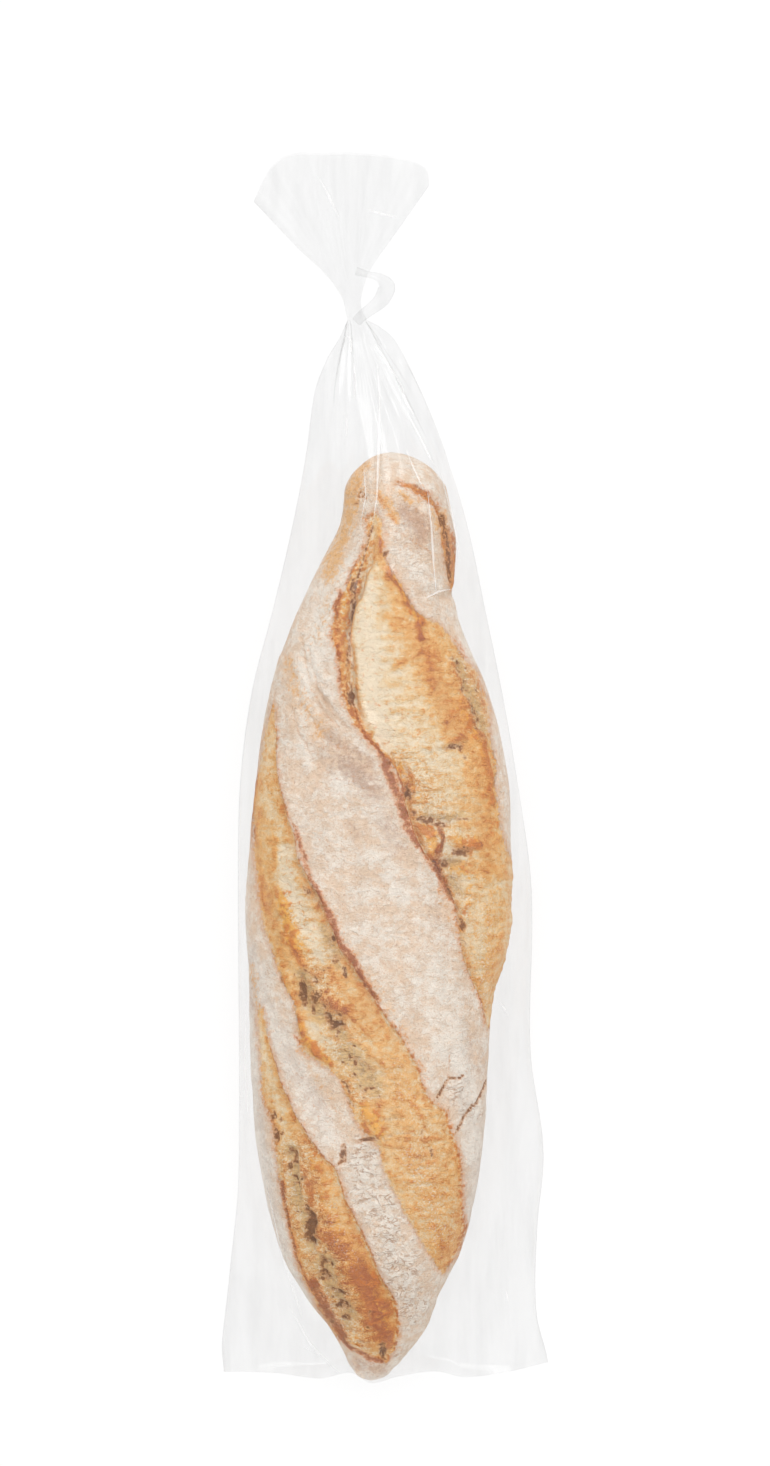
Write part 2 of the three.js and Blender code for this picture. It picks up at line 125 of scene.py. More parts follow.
# Slash edges as (y, x), lower end first, as seen from above. `ear` is the side whose skin tore
# up into an ear; `wall`, `gap` and `sunk` give, along y, how wide its torn face is, how deep the
# gap at its root, and how far the crumb beside it lies under the skin.
SLASHES = [
    {
        "ear": "left", "toast_and_shade": (0.14, 0.46), "rim": 0.42,
        "ear_height": [(-95, 0.3), (-60, 1.0), (-30, 1.4), (10, 1.2), (30, 1.5), (92, 1)],
        "left": [
            (-94.7, 37.4), (-85.8, 34.4), (-75.5, 29.6), (-67.3, 27.0), (-58.1, 26.3), (-50.7, 24.4),
            (-44.4, 22.4), (-40.7, 20.2), (-37.0, 17.6), (-34.0, 15.9), (-31.1, 13.5), (-27.4, 11.5),
            (-20.0, 8.5), (-11.8, 6.3),
            (-3.7, 3.7), (2.2, 1.1), (7.8, -4.8), (14.1, -10.4), (20.7, -13.7), (28.9, -16.3),
            (40.0, -17.8), (47.4, -19.2), (54.0, -18.9), (60.3, -17.4), (65.9, -14.8), (72.2, -12.2),
            (77.0, -8.9), (84.4, -7.0), (91.8, -6.7),
        ],
        "right": [
            (-94.7, 38.4), (-80, 46), (-60, 57), (-42, 58), (-34, 48), (-26.6, 43.2), (-17.4, 41.6),
            (-8.1, 40.6), (3, 40), (12.2, 38.2), (22.2, 38.1), (28.9, 35.9), (35.5, 32.9),
            (41.8, 27.8), (47.4, 24.1), (51.8, 20.7),
            (57.7, 11.5), (65.9, 7.0), (71.0, 3.7), (77.0, 0.4), (82.5, -0.4), (91.8, -1.5),
        ],
        "wall": [(-95, 1.4), (0, 2), (20, 3.6), (40, 5.2), (60, 5.4), (80, 3), (92, 1.5)],
        "gap": [
            (-95, 0.8), (-60, 1.4), (-45, 1.6), (-30, 1.6), (-15, 1.4), (0, 0.8), (15, 0.8), (28, 3.6),
            (40, 2), (55, 3.6), (66, 4), (75, 2.6), (92, 0.4),
        ],
        "sunk": [(-95, 0.4), (-60, 1.6), (-30, 2.2), (0, 1.3), (40, 1.2), (70, 1), (92, 0.4)],
    },
    {
        "ear": "right", "toast_and_shade": (0.46, 0.44), "rim": 0.34,
        "ear_height": [(-186, 0.2), (-120, 0.3), (-90, 0.6), (-60, 1.3), (-30, 1.4), (23, 0.8)],
        "left": [
            (-185.0, 20.7), (-179.8, 17.4), (-173.9, 13.7), (-166.5, 10.0), (-159.8, 6.3),
            (-151.3, 2.2), (-145.0, -0.4), (-138.4, -1.9), (-135.4, -4.1), (-132.5, -7.8),
            (-126.5, -10.7), (-121.0, -12.9), (-115.4, -15.9), (-110.3, -19.2), (-106.6, -24.1),
            (-102.9, -30.0), (-96.9, -31.1), (-88.8, -32.6), (-79.2, -36.6), (-71.0, -39.6),
            (-63.6, -42.2), (-52.5, -44.8), (-43.3, -46.6), (-34.0, -47.7), (-22.9, -48.5),
            (-8.1, -48.1), (1.1, -45.9), (10.4, -44.4), (23.3, -41.8),
        ],
        "right": [
            (-185.7, 21.5), (-182.0, 24.1), (-176.9, 27.4), (-170.2, 29.2), (-159.8, 28.9),
            (-146.9, 28.1), (-136.9, 26.6), (-130.2, 24.1), (-125.1, 22.2), (-120.6, 17.4),
            (-115.4, 14.8), (-108.8, 12.6), (-102.5, 9.6), (-97.7, 7.0), (-92.5, 3.3), (-87.0, -0.4),
            (-79.5, -4.8), (-74.7, -8.9), (-69.2, -12.2), (-64.4, -15.5), (-58.1, -18.1),
            (-50.7, -21.1), (-44.4, -24.1), (-37.7, -27.4), (-32.2, -30.3), (-24.8, -32.2),
            (-16.3, -34.4), (-7.4, -36.6), (1.1, -38.1), (10.4, -39.2), (23.3, -40.3),
        ],
        "wall": [(-186, 1), (-120, 1.2), (-60, 1.8), (-30, 1.6), (23, 0.8)],
        "gap": [
            (-186, 0.1), (-140, 0.2), (-120, 0.3), (-100, 0.4), (-72, 0.8), (-50, 0.9), (-30, 0.7),
            (0, 0.4), (23, 0.1),
        ],
        "sunk": [(-186, 0.3), (-130, 0.7), (-100, 1), (-70, 1.8), (-40, 1.6), (0, 0.9), (23, 0.3)],
    },
    {
        "ear": "right", "toast_and_shade": (0.52, 0.4), "rim": 0.1,
        "ear_height": [(-218, 0.3), (-150, 0.4), (-120, 0.8), (-88, 0.4)],
        "left": [
            (-217.9, -0.4), (-216.1, -4.8), (-213.1, -11.1), (-209.1, -17.4), (-202.8, -22.2),
            (-195.0, -25.9), (-185.7, -30.3), (-176.5, -33.3), (-168.0, -35.1), (-158.0, -37.0),
            (-148.7, -38.9), (-136.9, -40.0), (-127.6, -42.2), (-121.0, -44.8), (-109.9, -45.5),
            (-100.6, -45.9), (-87.7, -46.6),
        ],
        "right": [
            (-217.9, 1.1), (-213.5, 4.1), (-207.9, 5.5), (-200.5, 5.2), (-193.1, 3.7), (-186.5, 0.0),
            (-178.3, -3.3), (-171.7, -6.7), (-163.5, -10.0), (-157.2, -12.9), (-150.6, -15.5),
            (-145.0, -17.4), (-140.6, -22.2), (-133.2, -27.4), (-125.4, -31.8), (-117.3, -35.5),
            (-108.8, -38.9), (-100.6, -41.8), (-87.7, -44.8),
        ],
        "wall": [(-218, 1), (-160, 1.8), (-88, 0.8)],
        "gap": [(-218, 0.1), (-145, 0.2), (-125, 0.7), (-110, 0.7), (-88, 0.2)],
        "sunk": [(-218, 0.5), (-190, 1.8), (-150, 1.6), (-120, 1), (-88, 0.2)],
    },
    {
        "ear": "right", "toast_and_shade": (0.75, 0.75), "rim": 0.4,
        "ear_height": [(65, 0.9), (105, 0.9)],
        "left": [
            (65.9, 24.1), (71.4, 22.9), (77.0, 21.8), (82.5, 20.7), (88.1, 20.0), (92.1, 18.9),
            (95.8, 17.0), (99.5, 12.9), (102.5, 8.5), (104.3, 4.1),
        ],
        "right": [
            (65.5, 24.8), (71.0, 25.9), (77.0, 26.3), (82.5, 25.2), (87.7, 23.3), (91.8, 21.5),
            (95.8, 19.6), (99.9, 16.3), (103.2, 12.2), (105.1, 6.3),
        ],
        "wall": [(65, 0.8), (105, 0.8)],
        "gap": [(65, 0.6), (85, 1.2), (105, 0.8)],
        "sunk": [(65, 0.3), (85, 0.7), (105, 0.4)],
    },
]

# Holes torn in the crumb, darker with painted shade the deeper they are: x, y, half size across, half
# size along, turn in degrees, depth
HOLES = [
    # the first slash: the gap at its root, its crumb, its lower end and the torn web
    (-11.8, 66.6, 0.9, 2.6, -8, 2.2), (-12.6, 57.7, 0.7, 5.2, -4, 1.8), (-12.2, 38.5, 0.7, 2.2, 0, 1.0),
    (-12.9, 26.3, 1.1, 3.3, 0, 2.4), (-11.5, 22.9, 0.7, 1.5, 0, 1.2), (25.5, 8.1, 2.2, 0.9, 8, 1.8),
    (22.6, 7.4, 1.5, 0.6, 20, 1.0), (29.2, 4.1, 0.8, 0.8, 0, 1.2), (16.6, -18.1, 4.4, 0.7, -9, 1.4),
    (17.4, -19.6, 1.1, 0.7, 0, 1.6), (21.5, -19.2, 2.2, 0.5, 0, 1.0), (7.0, 3.3, 1.5, 0.7, -20, 0.8),
    (28.1, -30.0, 3.3, 1.5, 12, 2.2), (22.2, -35.1, 1.9, 1.1, 20, 1.8), (8.5, -8.5, 1.5, 2.6, 10, 2.0),
    (10.0, -16.3, 1.9, 1.1, 20, 1.6), (23.3, -44.4, 1.7, 2.2, -20, 1.8),
    (28.9, -57.0, 1.1, 2.6, 8, 1.6), (30.3, -53.6, 0.7, 1.1, 0, 1.0), (25.9, -50.7, 1.5, 1.5, 0, 1.2),
    (27.0, 35.5, 1.5, 1.1, 0, 1.0), (28.5, 28.9, 1.5, 1.5, 0, 1.2), (32.2, 20.7, 1.9, 1.5, 0, 1.4),
    (30.7, 25.2, 1.5, 1.1, 0, 1.0), (34.4, 17.8, 1.1, 1.5, 0, 1.2), (23.7, 40.0, 1.1, 0.6, -25, 1.0),
    # the second slash, from its upper end down
    (-19.2, -61.8, 1.5, 1.5, 0, 1.4), (-18.5, -69.6, 2.2, 1.5, 0, 1.6),
    (-14.8, -73.6, 1.1, 1.9, 0, 2.0), (-21.5, -72.9, 3.3, 0.5, 10, 1.2),
    (-27.8, -74.0, 1.9, 0.5, -10, 1.0), (-28.5, -45.1, 1.1, 3.0, 25, 1.6),
    (-23.3, -50.0, 1.1, 2.2, 30, 1.2), (-30.3, -82.1, 1.3, 4.1, 5, 2.8),
    (-25.2, -83.2, 1.5, 2.6, -20, 2.2), (-21.1, -89.9, 1.5, 1.5, 0, 2.2),
    (-18.1, -92.9, 3.3, 1.3, 0, 2.6), (-25.5, -76.6, 1.1, 1.9, 0, 1.2),
    (-22.2, -86.6, 1.1, 1.1, 0, 1.4), (-16.6, -89.5, 1.1, 1.1, 0, 1.2),
    (-14.4, -114.7, 2.2, 0.7, -35, 1.4), (-12.9, -121.7, 1.1, 0.7, -30, 1.2),
    (-4.8, -109.9, 2.6, 0.7, 0, 0.8), (-7.8, -117.7, 1.5, 1.1, 0, 0.8),
    (-11.1, -105.1, 3.0, 0.6, 5, 0.8), (-7.0, -135.1, 4.4, 0.7, 10, 1.8),
    (-15.5, -140.6, 1.1, 3.0, 0, 2.0), (13.3, -133.2, 0.6, 1.9, -10, 1.0),
    (17.0, -140.2, 0.7, 2.6, 4, 1.6), (1.9, -127.6, 3.7, 0.5, 0, 0.6), (4.8, -133.2, 3.3, 0.4, 0, 0.6),
    # the third slash
    (-41.1, -127.3, 1.1, 1.5, 0, 1.6), (-38.5, -128.0, 0.9, 1.3, 0, 1.2),
    (-40.0, -134.3, 1.1, 2.6, -5, 2.0), (-37.7, -133.2, 0.7, 1.5, 0, 1.0),
    (-45.1, -122.1, 0.6, 1.1, 0, 1.0), (-40.7, -122.8, 0.6, 0.7, 0, 0.7),
    (-33.3, -141.3, 1.1, 2.2, 0, 1.4), (-31.4, -151.7, 2.2, 0.7, 0, 1.0),
    (-27.4, -167.2, 1.9, 5.5, -6, 3.2), (-28.5, -160.9, 1.1, 1.9, 0, 1.6),
    (-25.9, -173.2, 0.8, 2.6, -15, 1.8), (-26.6, -178.7, 1.1, 0.7, 0, 1.0),
    (-22.2, -180.2, 1.9, 1.1, 0, 1.4), (-35.1, -146.9, 0.7, 1.9, 0, 0.8),
    (-21.8, -185.7, 2.6, 1.9, -20, 2.0), (-16.6, -191.3, 4.4, 1.1, -10, 1.6),
    (-15.5, -196.8, 3.3, 2.2, 0, 1.8), (-5.5, -199.4, 0.7, 2.6, 0, 1.2),
    (-5.5, -204.2, 1.5, 0.9, 0, 1.4), (-0.7, -213.9, 1.5, 3.3, 8, 2.8),
    (-14.4, -201.7, 1.9, 1.1, 0, 1.2), (-20.0, -203.5, 1.5, 1.5, 0, 1.2),
    (-31.4, -182.8, 0.7, 1.5, 0, 1.0), (-9.2, -209.8, 1.9, 0.9, 0, 1.0),
    (-11.1, -206.1, 1.5, 0.7, 0, 0.9),
    # the knob
    (-8.9, 99.5, 2.2, 0.8, -15, 1.4), (-10.4, 96.9, 1.5, 0.7, 20, 1.0), (0.0, 78.4, 2.2, 0.9, 28, 1.6),
    (-1.1, 75.8, 1.1, 0.7, 0, 0.8), (7.4, 99.2, 1.9, 0.7, -35, 0.8), (1.1, 102.9, 0.7, 2.2, 10, 0.6),
]

PIT_SHARPNESS = 3.0
PIT_REACH = 3.2  # half sizes past which a hole no longer counts
PIT_SHARE = 0.28  # of a hole's depth that the relief takes; painted shade in its colour does the rest

# Streaks of one shade over the crust: amount, half width in mm, and a run of (x, y) in the
# photo's pixels. Toast above zero is browner and below zero creamier, as the crust baked,
# save one row that is painted shadow.
TOAST_AND_SHADE = [
    # the first slash: golden right edge, gold field, amber ridge and lower end
    (0.40, 1.9, [(383, 548), (394, 583), (405, 603), (412, 606), (419, 622), (421, 640)]),
    (0.18, 5.0, [(412, 637), (420, 660), (442, 690), (454, 720), (470, 745)]),
    (0.16, 3.0, [(436, 648), (428, 666), (430, 691), (436, 709), (443, 726), (450, 736)]),
    (0.24, 1.5, [(455, 700), (466, 720), (477, 738), (484, 760), (488, 777), (490, 800)]),
    (0.16, 3.4, [(478, 765), (482, 800), (486, 840), (490, 880), (495, 930), (490, 980)]),
    (-0.22, 5.0, [(372, 580), (370, 640), (372, 700), (385, 740)]),
    (0.26, 7.0, [(400, 768), (420, 800)]),
    (0.40, 1.1, [(366, 738), (371, 733)]),
    (0.32, 1.3, [(352, 712), (366, 738), (380, 752), (392, 770), (402, 795), (412, 820), (420, 845)]),
    (0.22, 1.5, [(395, 668), (404, 664)]),
    (0.20, 1.2, [(385, 680), (400, 684)]),
    (0.45, 1.5, [(405, 785), (413, 778)]),
    (0.40, 2.2, [(455, 838), (468, 845), (476, 842)]),
    (0.12, 2.6, [(424, 830), (428, 850)]),
    (0.16, 6.0, [(470, 870), (485, 930), (484, 1000)]),
    (0.30, 1.6, [(341, 596), (337, 620), (340, 650), (341, 690)]),
    # the second slash, from its upper end down
    (-0.20, 2.6, [(270, 800), (277, 830)]),
    (-0.42, 3.6, [(283, 850), (290, 880), (301, 905), (312, 930), (322, 950)]),
    (0.22, 1.0, [(273, 820), (275, 866)]),
    (0.10, 1.8, [(282, 900), (290, 922), (298, 942)]),
    # painted shadow, brown, below the cream strand
    (0.36, 1.8, [(291, 937), (299, 950), (306, 962)]),
    (-0.16, 3.0, [(268, 738), (265, 762)]),
    (0.16, 3.2, [(268, 895), (278, 925), (290, 955)]),
    (0.14, 2.6, [(280, 965), (292, 990), (300, 1010)]),
    (0.30, 1.2, [(318, 968), (328, 965), (334, 972), (330, 985)]),
    (0.42, 2.8, [(328, 999), (338, 1001), (346, 1008)]),
    (0.10, 4.4, [(355, 1005), (378, 1020)]),
    (-0.30, 2.6, [(312, 1018), (322, 1034), (335, 1046)]),
    (0.42, 1.8, [(299, 1013), (304, 1030), (316, 1046), (332, 1057)]),
    (-0.15, 4.0, [(352, 1050), (368, 1070), (378, 1085)]),
    (0.05, 5.0, [(395, 1070), (405, 1110), (430, 1180), (440, 1240)]),
    (0.24, 2.8, [(372, 1105), (366, 1125)]),
    (0.26, 1.6, [(462, 1130), (463, 1170), (464, 1210), (458, 1250)]),
    (0.20, 3.0, [(440, 1235), (452, 1262)]),
    # the third slash
    (0.28, 1.0, [(279, 1058), (291, 1086), (305, 1112)]),
    (-0.2, 2.4, [(262, 1030), (270, 1070), (282, 1100)]),
    (-0.10, 3.6, [(330, 1180), (340, 1210), (348, 1240)]),
    (0.30, 1.1, [(305, 1160), (311, 1180), (314, 1195)]),
    (0.2, 3.2, [(318, 1175), (328, 1215), (340, 1245)]),
    (-0.12, 2.4, [(284, 1110), (290, 1150), (294, 1180)]),
    (0.42, 3.8, [(362, 1268), (372, 1285), (385, 1300)]),
    (0.34, 3.0, [(375, 1310), (390, 1330)]),
    (0.12, 6.0, [(350, 1240), (370, 1290), (375, 1320)]),
    (0.3, 2.4, [(290, 1225), (300, 1255), (315, 1285)]),
    (0.2, 5.0, [(340, 1230), (362, 1290), (380, 1330)]),
    (0.16, 2.2, [(256, 760), (254, 810), (258, 860), (266, 900)]),
]
# greyish tan crumb, open and less baked
ASH = [
    (0.5, 0.7, [(350, 640), (351, 665), (351, 690), (352, 705)]),
    (0.9, 2.6, [(459, 665), (468, 690), (476, 712), (481, 728)]),
    (0.8, 1.8, [(425, 814), (440, 817), (462, 815)]),
    (1.0, 2.6, [(446, 864), (458, 859)]),
    (0.9, 2.0, [(452, 876), (459, 892)]),
    (0.25, 6.0, [(430, 770), (440, 800)]),
    (0.45, 3.0, [(262, 800), (262, 850), (270, 900), (285, 945), (292, 965)]),
    (0.6, 1.2, [(313, 896), (316, 886)]),
    (0.9, 2.2, [(322, 925), (332, 945), (338, 960)]),
    (1.0, 3.6, [(304, 974), (311, 998), (322, 1012)]),
    (0.9, 3.0, [(320, 1008), (332, 1018), (344, 1030)]),
    (1.0, 5.4, [(350, 1050), (364, 1066), (374, 1082)]),
    (0.45, 3.0, [(392, 1110), (395, 1128)]),
    (1.0, 2.8, [(291, 1145), (295, 1170), (300, 1195)]),
    (1.0, 2.8, [(308, 1205), (311, 1238)]),
    (1.0, 3.4, [(325, 1252), (330, 1280)]),
    (0.9, 3.3, [(338, 1290), (350, 1305), (345, 1318)]),
    (0.3, 3.0, [(270, 1050), (280, 1090), (290, 1120)]),
]
# red-brown ragged rims
RIM = [
    (0.8, 1.1, [(350, 702), (366, 740), (380, 752)]),
    (1.1, 1.8, [(376, 748), (384, 762), (389, 777), (397, 797), (405, 822), (413, 842)]),
    (0.5, 2.6, [(390, 772), (399, 800), (410, 830), (424, 855)]),
    (0.95, 1.3, [(415, 842), (425, 860), (434, 871), (449, 892)]),
    (0.7, 1.2, [(408, 788), (413, 780), (409, 770)]),
    (1.0, 1.2, [(437, 823), (442, 836), (438, 850)]),
    (0.9, 1.0, [(456, 848), (470, 850)]),
    (1.0, 2.0, [(437, 850), (439, 860)]),
    (1.3, 2.4, [(436, 864), (441, 878), (448, 892)]),
    (0.6, 1.0, [(452, 668), (460, 690), (470, 715), (480, 742), (488, 775)]),
    (0.45, 1.6, [(455, 640), (466, 660), (478, 690), (485, 715)]),
    (0.45, 1.8, [(256, 770), (254, 800), (256, 840)]),
    (0.4, 1.6, [(262, 870), (268, 900), (276, 925)]),
    (0.6, 0.8, [(452, 900), (455, 920), (458, 935)]),
    (0.75, 1.4, [(341, 596), (336, 609), (338, 621), (338, 645), (340, 668), (340, 690)]),
    (0.75, 1.0, [(283, 787), (289, 809), (299, 825), (307, 850), (318, 883)]),
    (0.75, 2.4, [(440, 870), (449, 892), (454, 908)]),
    (0.2, 3.0, [(361, 470), (355, 500)]),
    (1.0, 1.5, [
        (318, 883), (329, 905), (336, 921), (342, 936), (352, 949), (362, 970), (369, 982), (378, 995),
    ]),
    (0.5, 1.4, [(380, 498), (385, 511)]),
    (0.55, 1.2, [(389, 514), (394, 524)]),
    (0.5, 0.8, [(377, 511), (379, 521)]),
    (0.4, 0.9, [(358, 492), (362, 496)]),
    (0.5, 0.8, [
        (395.6, 486), (405, 485), (415, 489), (425, 499), (435, 509), (441.6, 522), (448, 538),
    ]),
    (0.6, 1.0, [(264, 1096), (272, 1111), (279, 1131), (276, 1144)]),
    (0.9, 1.0, [(283, 1176), (291, 1219), (298, 1251), (311, 1279)]),
    (1.3, 2.4, [(314, 1277), (325, 1300), (333, 1315), (342, 1330)]),
    (1.1, 1.2, [(337, 1328), (352, 1345), (369, 1354), (382, 1358)]),
    (0.5, 1.4, [(306, 1165), (311, 1185), (314, 1205)]),
    (0.45, 2.2, [(355, 1262), (364, 1280), (368, 1300)]),
    (0.5, 1.0, [(370, 1310), (372, 1325)]),
    (0.3, 0.9, [(392, 1016), (405, 1028), (415, 1051), (428, 1074)]),
    (0.5, 0.9, [(295, 1030), (305, 1045), (316, 1056)]),
]
# gaps and ledges in the crumb, brown with painted shade: its darkness, half width, run, depth in mm
GAP = [
    (0.8, 0.45, [(372, 529), (366, 548), (361, 566), (355, 588)], 0.9),
    (0.7, 0.6, [(355, 588), (351, 610), (348, 645), (347, 668)], 0.7),
    (0.8, 0.6, [(351, 694), (351, 703)], 0.9),
    (0.9, 0.8, [(419, 817.5), (430, 821), (443, 823)], 1.0),
    (0.5, 0.5, [(443, 822), (455, 817), (468, 819)], 0.5),
    (1.0, 1.0, [(449, 746), (457, 745), (459, 749)], 0.7),
    (0.5, 0.4, [(462, 755), (466, 759)], 0.5),
    (0.8, 0.8, [(456, 851), (466, 853)], 0.7),
    (0.6, 0.5, [(302, 972), (302, 985), (303, 1000), (306, 1003)], 0.7),
    (0.7, 0.7, [(322, 991), (316, 997), (312, 1004)], 0.7),
    (0.8, 0.6, [(327.6, 1011), (334, 1017), (341.6, 1018)], 0.7),
    (0.9, 0.6, [(344, 963), (346, 972)], 0.7),
    (0.7, 0.6, [(344, 1077), (350, 1087)], 0.6),
    (0.6, 0.6, [(348, 1092), (354, 1100)], 0.6),
    (0.45, 0.35, [(386, 1129), (403, 1127), (420, 1128)], 0.4),
    (0.5, 0.5, [(356, 1137), (366, 1134), (377, 1133)], 0.5),
    (0.8, 0.8, [(345, 1139), (345, 1154)], 0.7),
    (1.0, 0.8, [(313, 1207), (316, 1222), (310, 1235)], 0.8),
    (0.8, 0.7, [(323, 1250), (322, 1262), (327, 1275)], 0.7),
    (1.0, 0.9, [(383, 1341), (383, 1352)], 0.8),
    (0.9, 0.6, [(340, 1297), (338, 1304)], 0.5),
    (0.8, 0.5, [(345, 1313), (350, 1316)], 0.5),
    (0.9, 0.7, [(276, 1124), (279, 1134)], 0.7),
    (0.8, 0.6, [(274, 1106), (276, 1112)], 0.6),
    (0.6, 0.5, [(360, 494), (366, 497)], 0.5),
    (0.95, 1.3, [(441, 520), (447, 545), (449, 578)], 0.4),
    (0.8, 0.8, [(450, 572), (450, 582)], 0.5),
    (0.4, 0.35, [(395.6, 486), (405, 484), (415, 488), (425, 497), (435, 507), (441.6, 520)], 0.4),
]
# broad soft hollows in the open crumb: depth in mm, half width, run
HOLLOWS = [
    (1.3, 2.2, [(303, 972), (306, 996), (318, 1010)]),
    (1.2, 2.0, [(324, 1004), (338, 1018)]),
    (0.9, 3.0, [(352, 1052), (368, 1076)]),
    (1.2, 2.0, [(292, 1150), (298, 1190)]),
    (1.4, 2.2, [(308, 1208), (313, 1238)]),
    (1.2, 2.4, [(324, 1254), (330, 1278)]),
    (1.0, 2.2, [(340, 1290), (352, 1312)]),
    (1.2, 1.8, [(447, 862), (458, 858)]),
    (1.0, 1.6, [(454, 878), (458, 890)]),
    (0.9, 1.8, [(428, 812), (446, 816)]),
    (0.8, 1.6, [(404, 768), (416, 790)]),
]
# golden places on the skin: knob, neck and the bands' edges
BLUSH = [
    (0.6, 1.5, [(253, 965), (256, 990), (261, 1010)]),
    (0.9, 3.8, [(362, 468), (356, 486), (352, 505)]),
    (0.9, 1.0, [(399, 497), (411, 504)]),
    (0.9, 2.2, [(381, 498), (388, 510), (394, 521)]),
    (0.8, 1.6, [(431, 510), (438, 532)]),
    (1.0, 2.0, [(441, 515), (447, 540), (449, 565), (450, 582)]),
    (0.5, 2.6, [(400, 496), (412, 503)]),
    (0.9, 3.6, [(350, 515), (340, 550), (328, 580)]),
    (0.45, 3.0, [(330, 600), (320, 640)]),
    (0.55, 3.6, [(290, 665), (302, 700), (320, 735)]),
    (0.35, 2.5, [(330, 905), (360, 960), (400, 1020), (425, 1070)]),
    (0.35, 2.2, [(395, 775), (425, 860), (455, 930), (480, 1000)]),
    (0.35, 2.0, [(300, 1045), (330, 1090), (352, 1130)]),
    (0.25, 3.0, [(395, 1310), (400, 1350)]),
    (0.3, 2.0, [(415, 1190), (440, 1260)]),
    (0.3, 3.5, [(489, 750), (500, 800), (503, 840)]),
]
# purplish grey skin where the flour rubbed off
MAUVE = [
    (1.0, 4.4, [(405, 513), (416, 524), (421, 536)]),
    (0.5, 2.5, [(398, 785), (412, 815), (424, 850)]),
    (0.8, 5.0, [(345, 760), (372, 790)]),
    (0.4, 5.0, [(320, 740), (335, 770)]),
    (0.6, 3.0, [(325, 735), (345, 745), (368, 765)]),
    (0.45, 2.4, [(352, 822), (358, 836)]),
    (0.5, 4.0, [(385, 820), (400, 850)]),
    (0.5, 3.5, [(248, 960), (252, 1000)]),
    (0.3, 4.0, [(300, 1070), (330, 1110)]),
    (0.4, 5.0, [(440, 900), (455, 940)]),
    (0.6, 4.0, [(360, 1360), (380, 1368)]),
    (0.4, 4.0, [(470, 1040), (478, 1070)]),
]
# thick white flour
FLOUR = [
    (1.1, 6.0, [(335, 570), (318, 620), (308, 680)]),
    (0.4, 3.0, [(300, 700), (310, 760)]),
    (0.4, 5.0, [(340, 870), (380, 920)]),
    (0.5, 6.0, [(400, 940), (440, 1000)]),
    (0.8, 5.0, [(450, 1040), (470, 1080)]),
    (0.9, 3.0, [(475, 1110), (470, 1150)]),
    (0.4, 3.0, [(262, 960), (290, 1050), (320, 1110)]),
    (0.8, 4.0, [(360, 1160), (385, 1220)]),
    (0.5, 3.0, [(395, 1240), (420, 1300)]),
    (1.0, 5.0, [(352, 1375), (375, 1385), (400, 1370)]),
    (0.4, 4.0, [(395, 470), (420, 480)]),
    (1.0, 1.3, [(399, 491), (411, 496), (421, 504)]),
    (0.6, 0.9, [(303, 668), (308, 690), (320, 715)]),
    (0.6, 0.8, [(298, 690), (306, 712), (322, 735)]),
    (0.5, 1.0, [(312, 655), (330, 700), (352, 735)]),
    (0.4, 5.0, [(430, 940), (445, 1010), (440, 1060)]),
    (0.6, 4.0, [(400, 560), (430, 590)]),
    (0.8, 3.5, [(458, 615), (472, 650)]),
    (0.9, 2.6, [(334, 775), (346, 785)]),
    (0.7, 3.5, [(380, 850), (405, 900)]),
    (0.7, 3.0, [(240, 900), (244, 1000), (262, 1180), (300, 1290)]),
]
# flour dusted over the torn crust
DUST = [
    (0.5, 7.0, [(410, 1150), (440, 1230)]),
    (0.9, 2.2, [(428, 1195), (432, 1205)]),
    (0.4, 3.5, [(440, 1000), (450, 1050)]),
    (0.5, 4.5, [(485, 900), (480, 1000)]),
    (0.35, 5.0, [(330, 1200), (350, 1250)]),
    (0.4, 5.0, [(392, 1060), (410, 1100)]),
]
# skin broken into scales
SCALY = [
    (1.0, 7.5, [(362, 1150), (385, 1220), (412, 1300)]),
    (0.8, 4.0, [(455, 1085), (475, 1110)]),
    (0.6, 3.0, [(395, 1320), (400, 1350)]),
    (0.4, 6.0, [(400, 540), (420, 580)]),
]
# greyish white skin, partly painted glare of the film over it: the left flank, the lower band and the
# first band's tail
GREY_AND_GLARE = [
    (0.9, 4.5, [(250, 950), (265, 1000), (290, 1050), (312, 1090), (330, 1130)]),
    (0.15, 4.0, [(345, 1160), (370, 1220), (395, 1290)]),
    (1.0, 3.0, [(246, 770), (243, 830), (240, 900)]),
    (1.0, 3.4, [(240, 900), (246, 1000), (256, 1100), (266, 1180), (285, 1250), (305, 1300)]),
    (0.9, 5.0, [(455, 1050), (470, 1100), (478, 1160), (472, 1240)]),
    (0.4, 7.0, [(430, 960), (450, 1030)]),
    (0.6, 4.5, [(345, 765), (375, 800), (392, 840)]),
    (0.5, 5.0, [(340, 1370), (380, 1380)]),
]
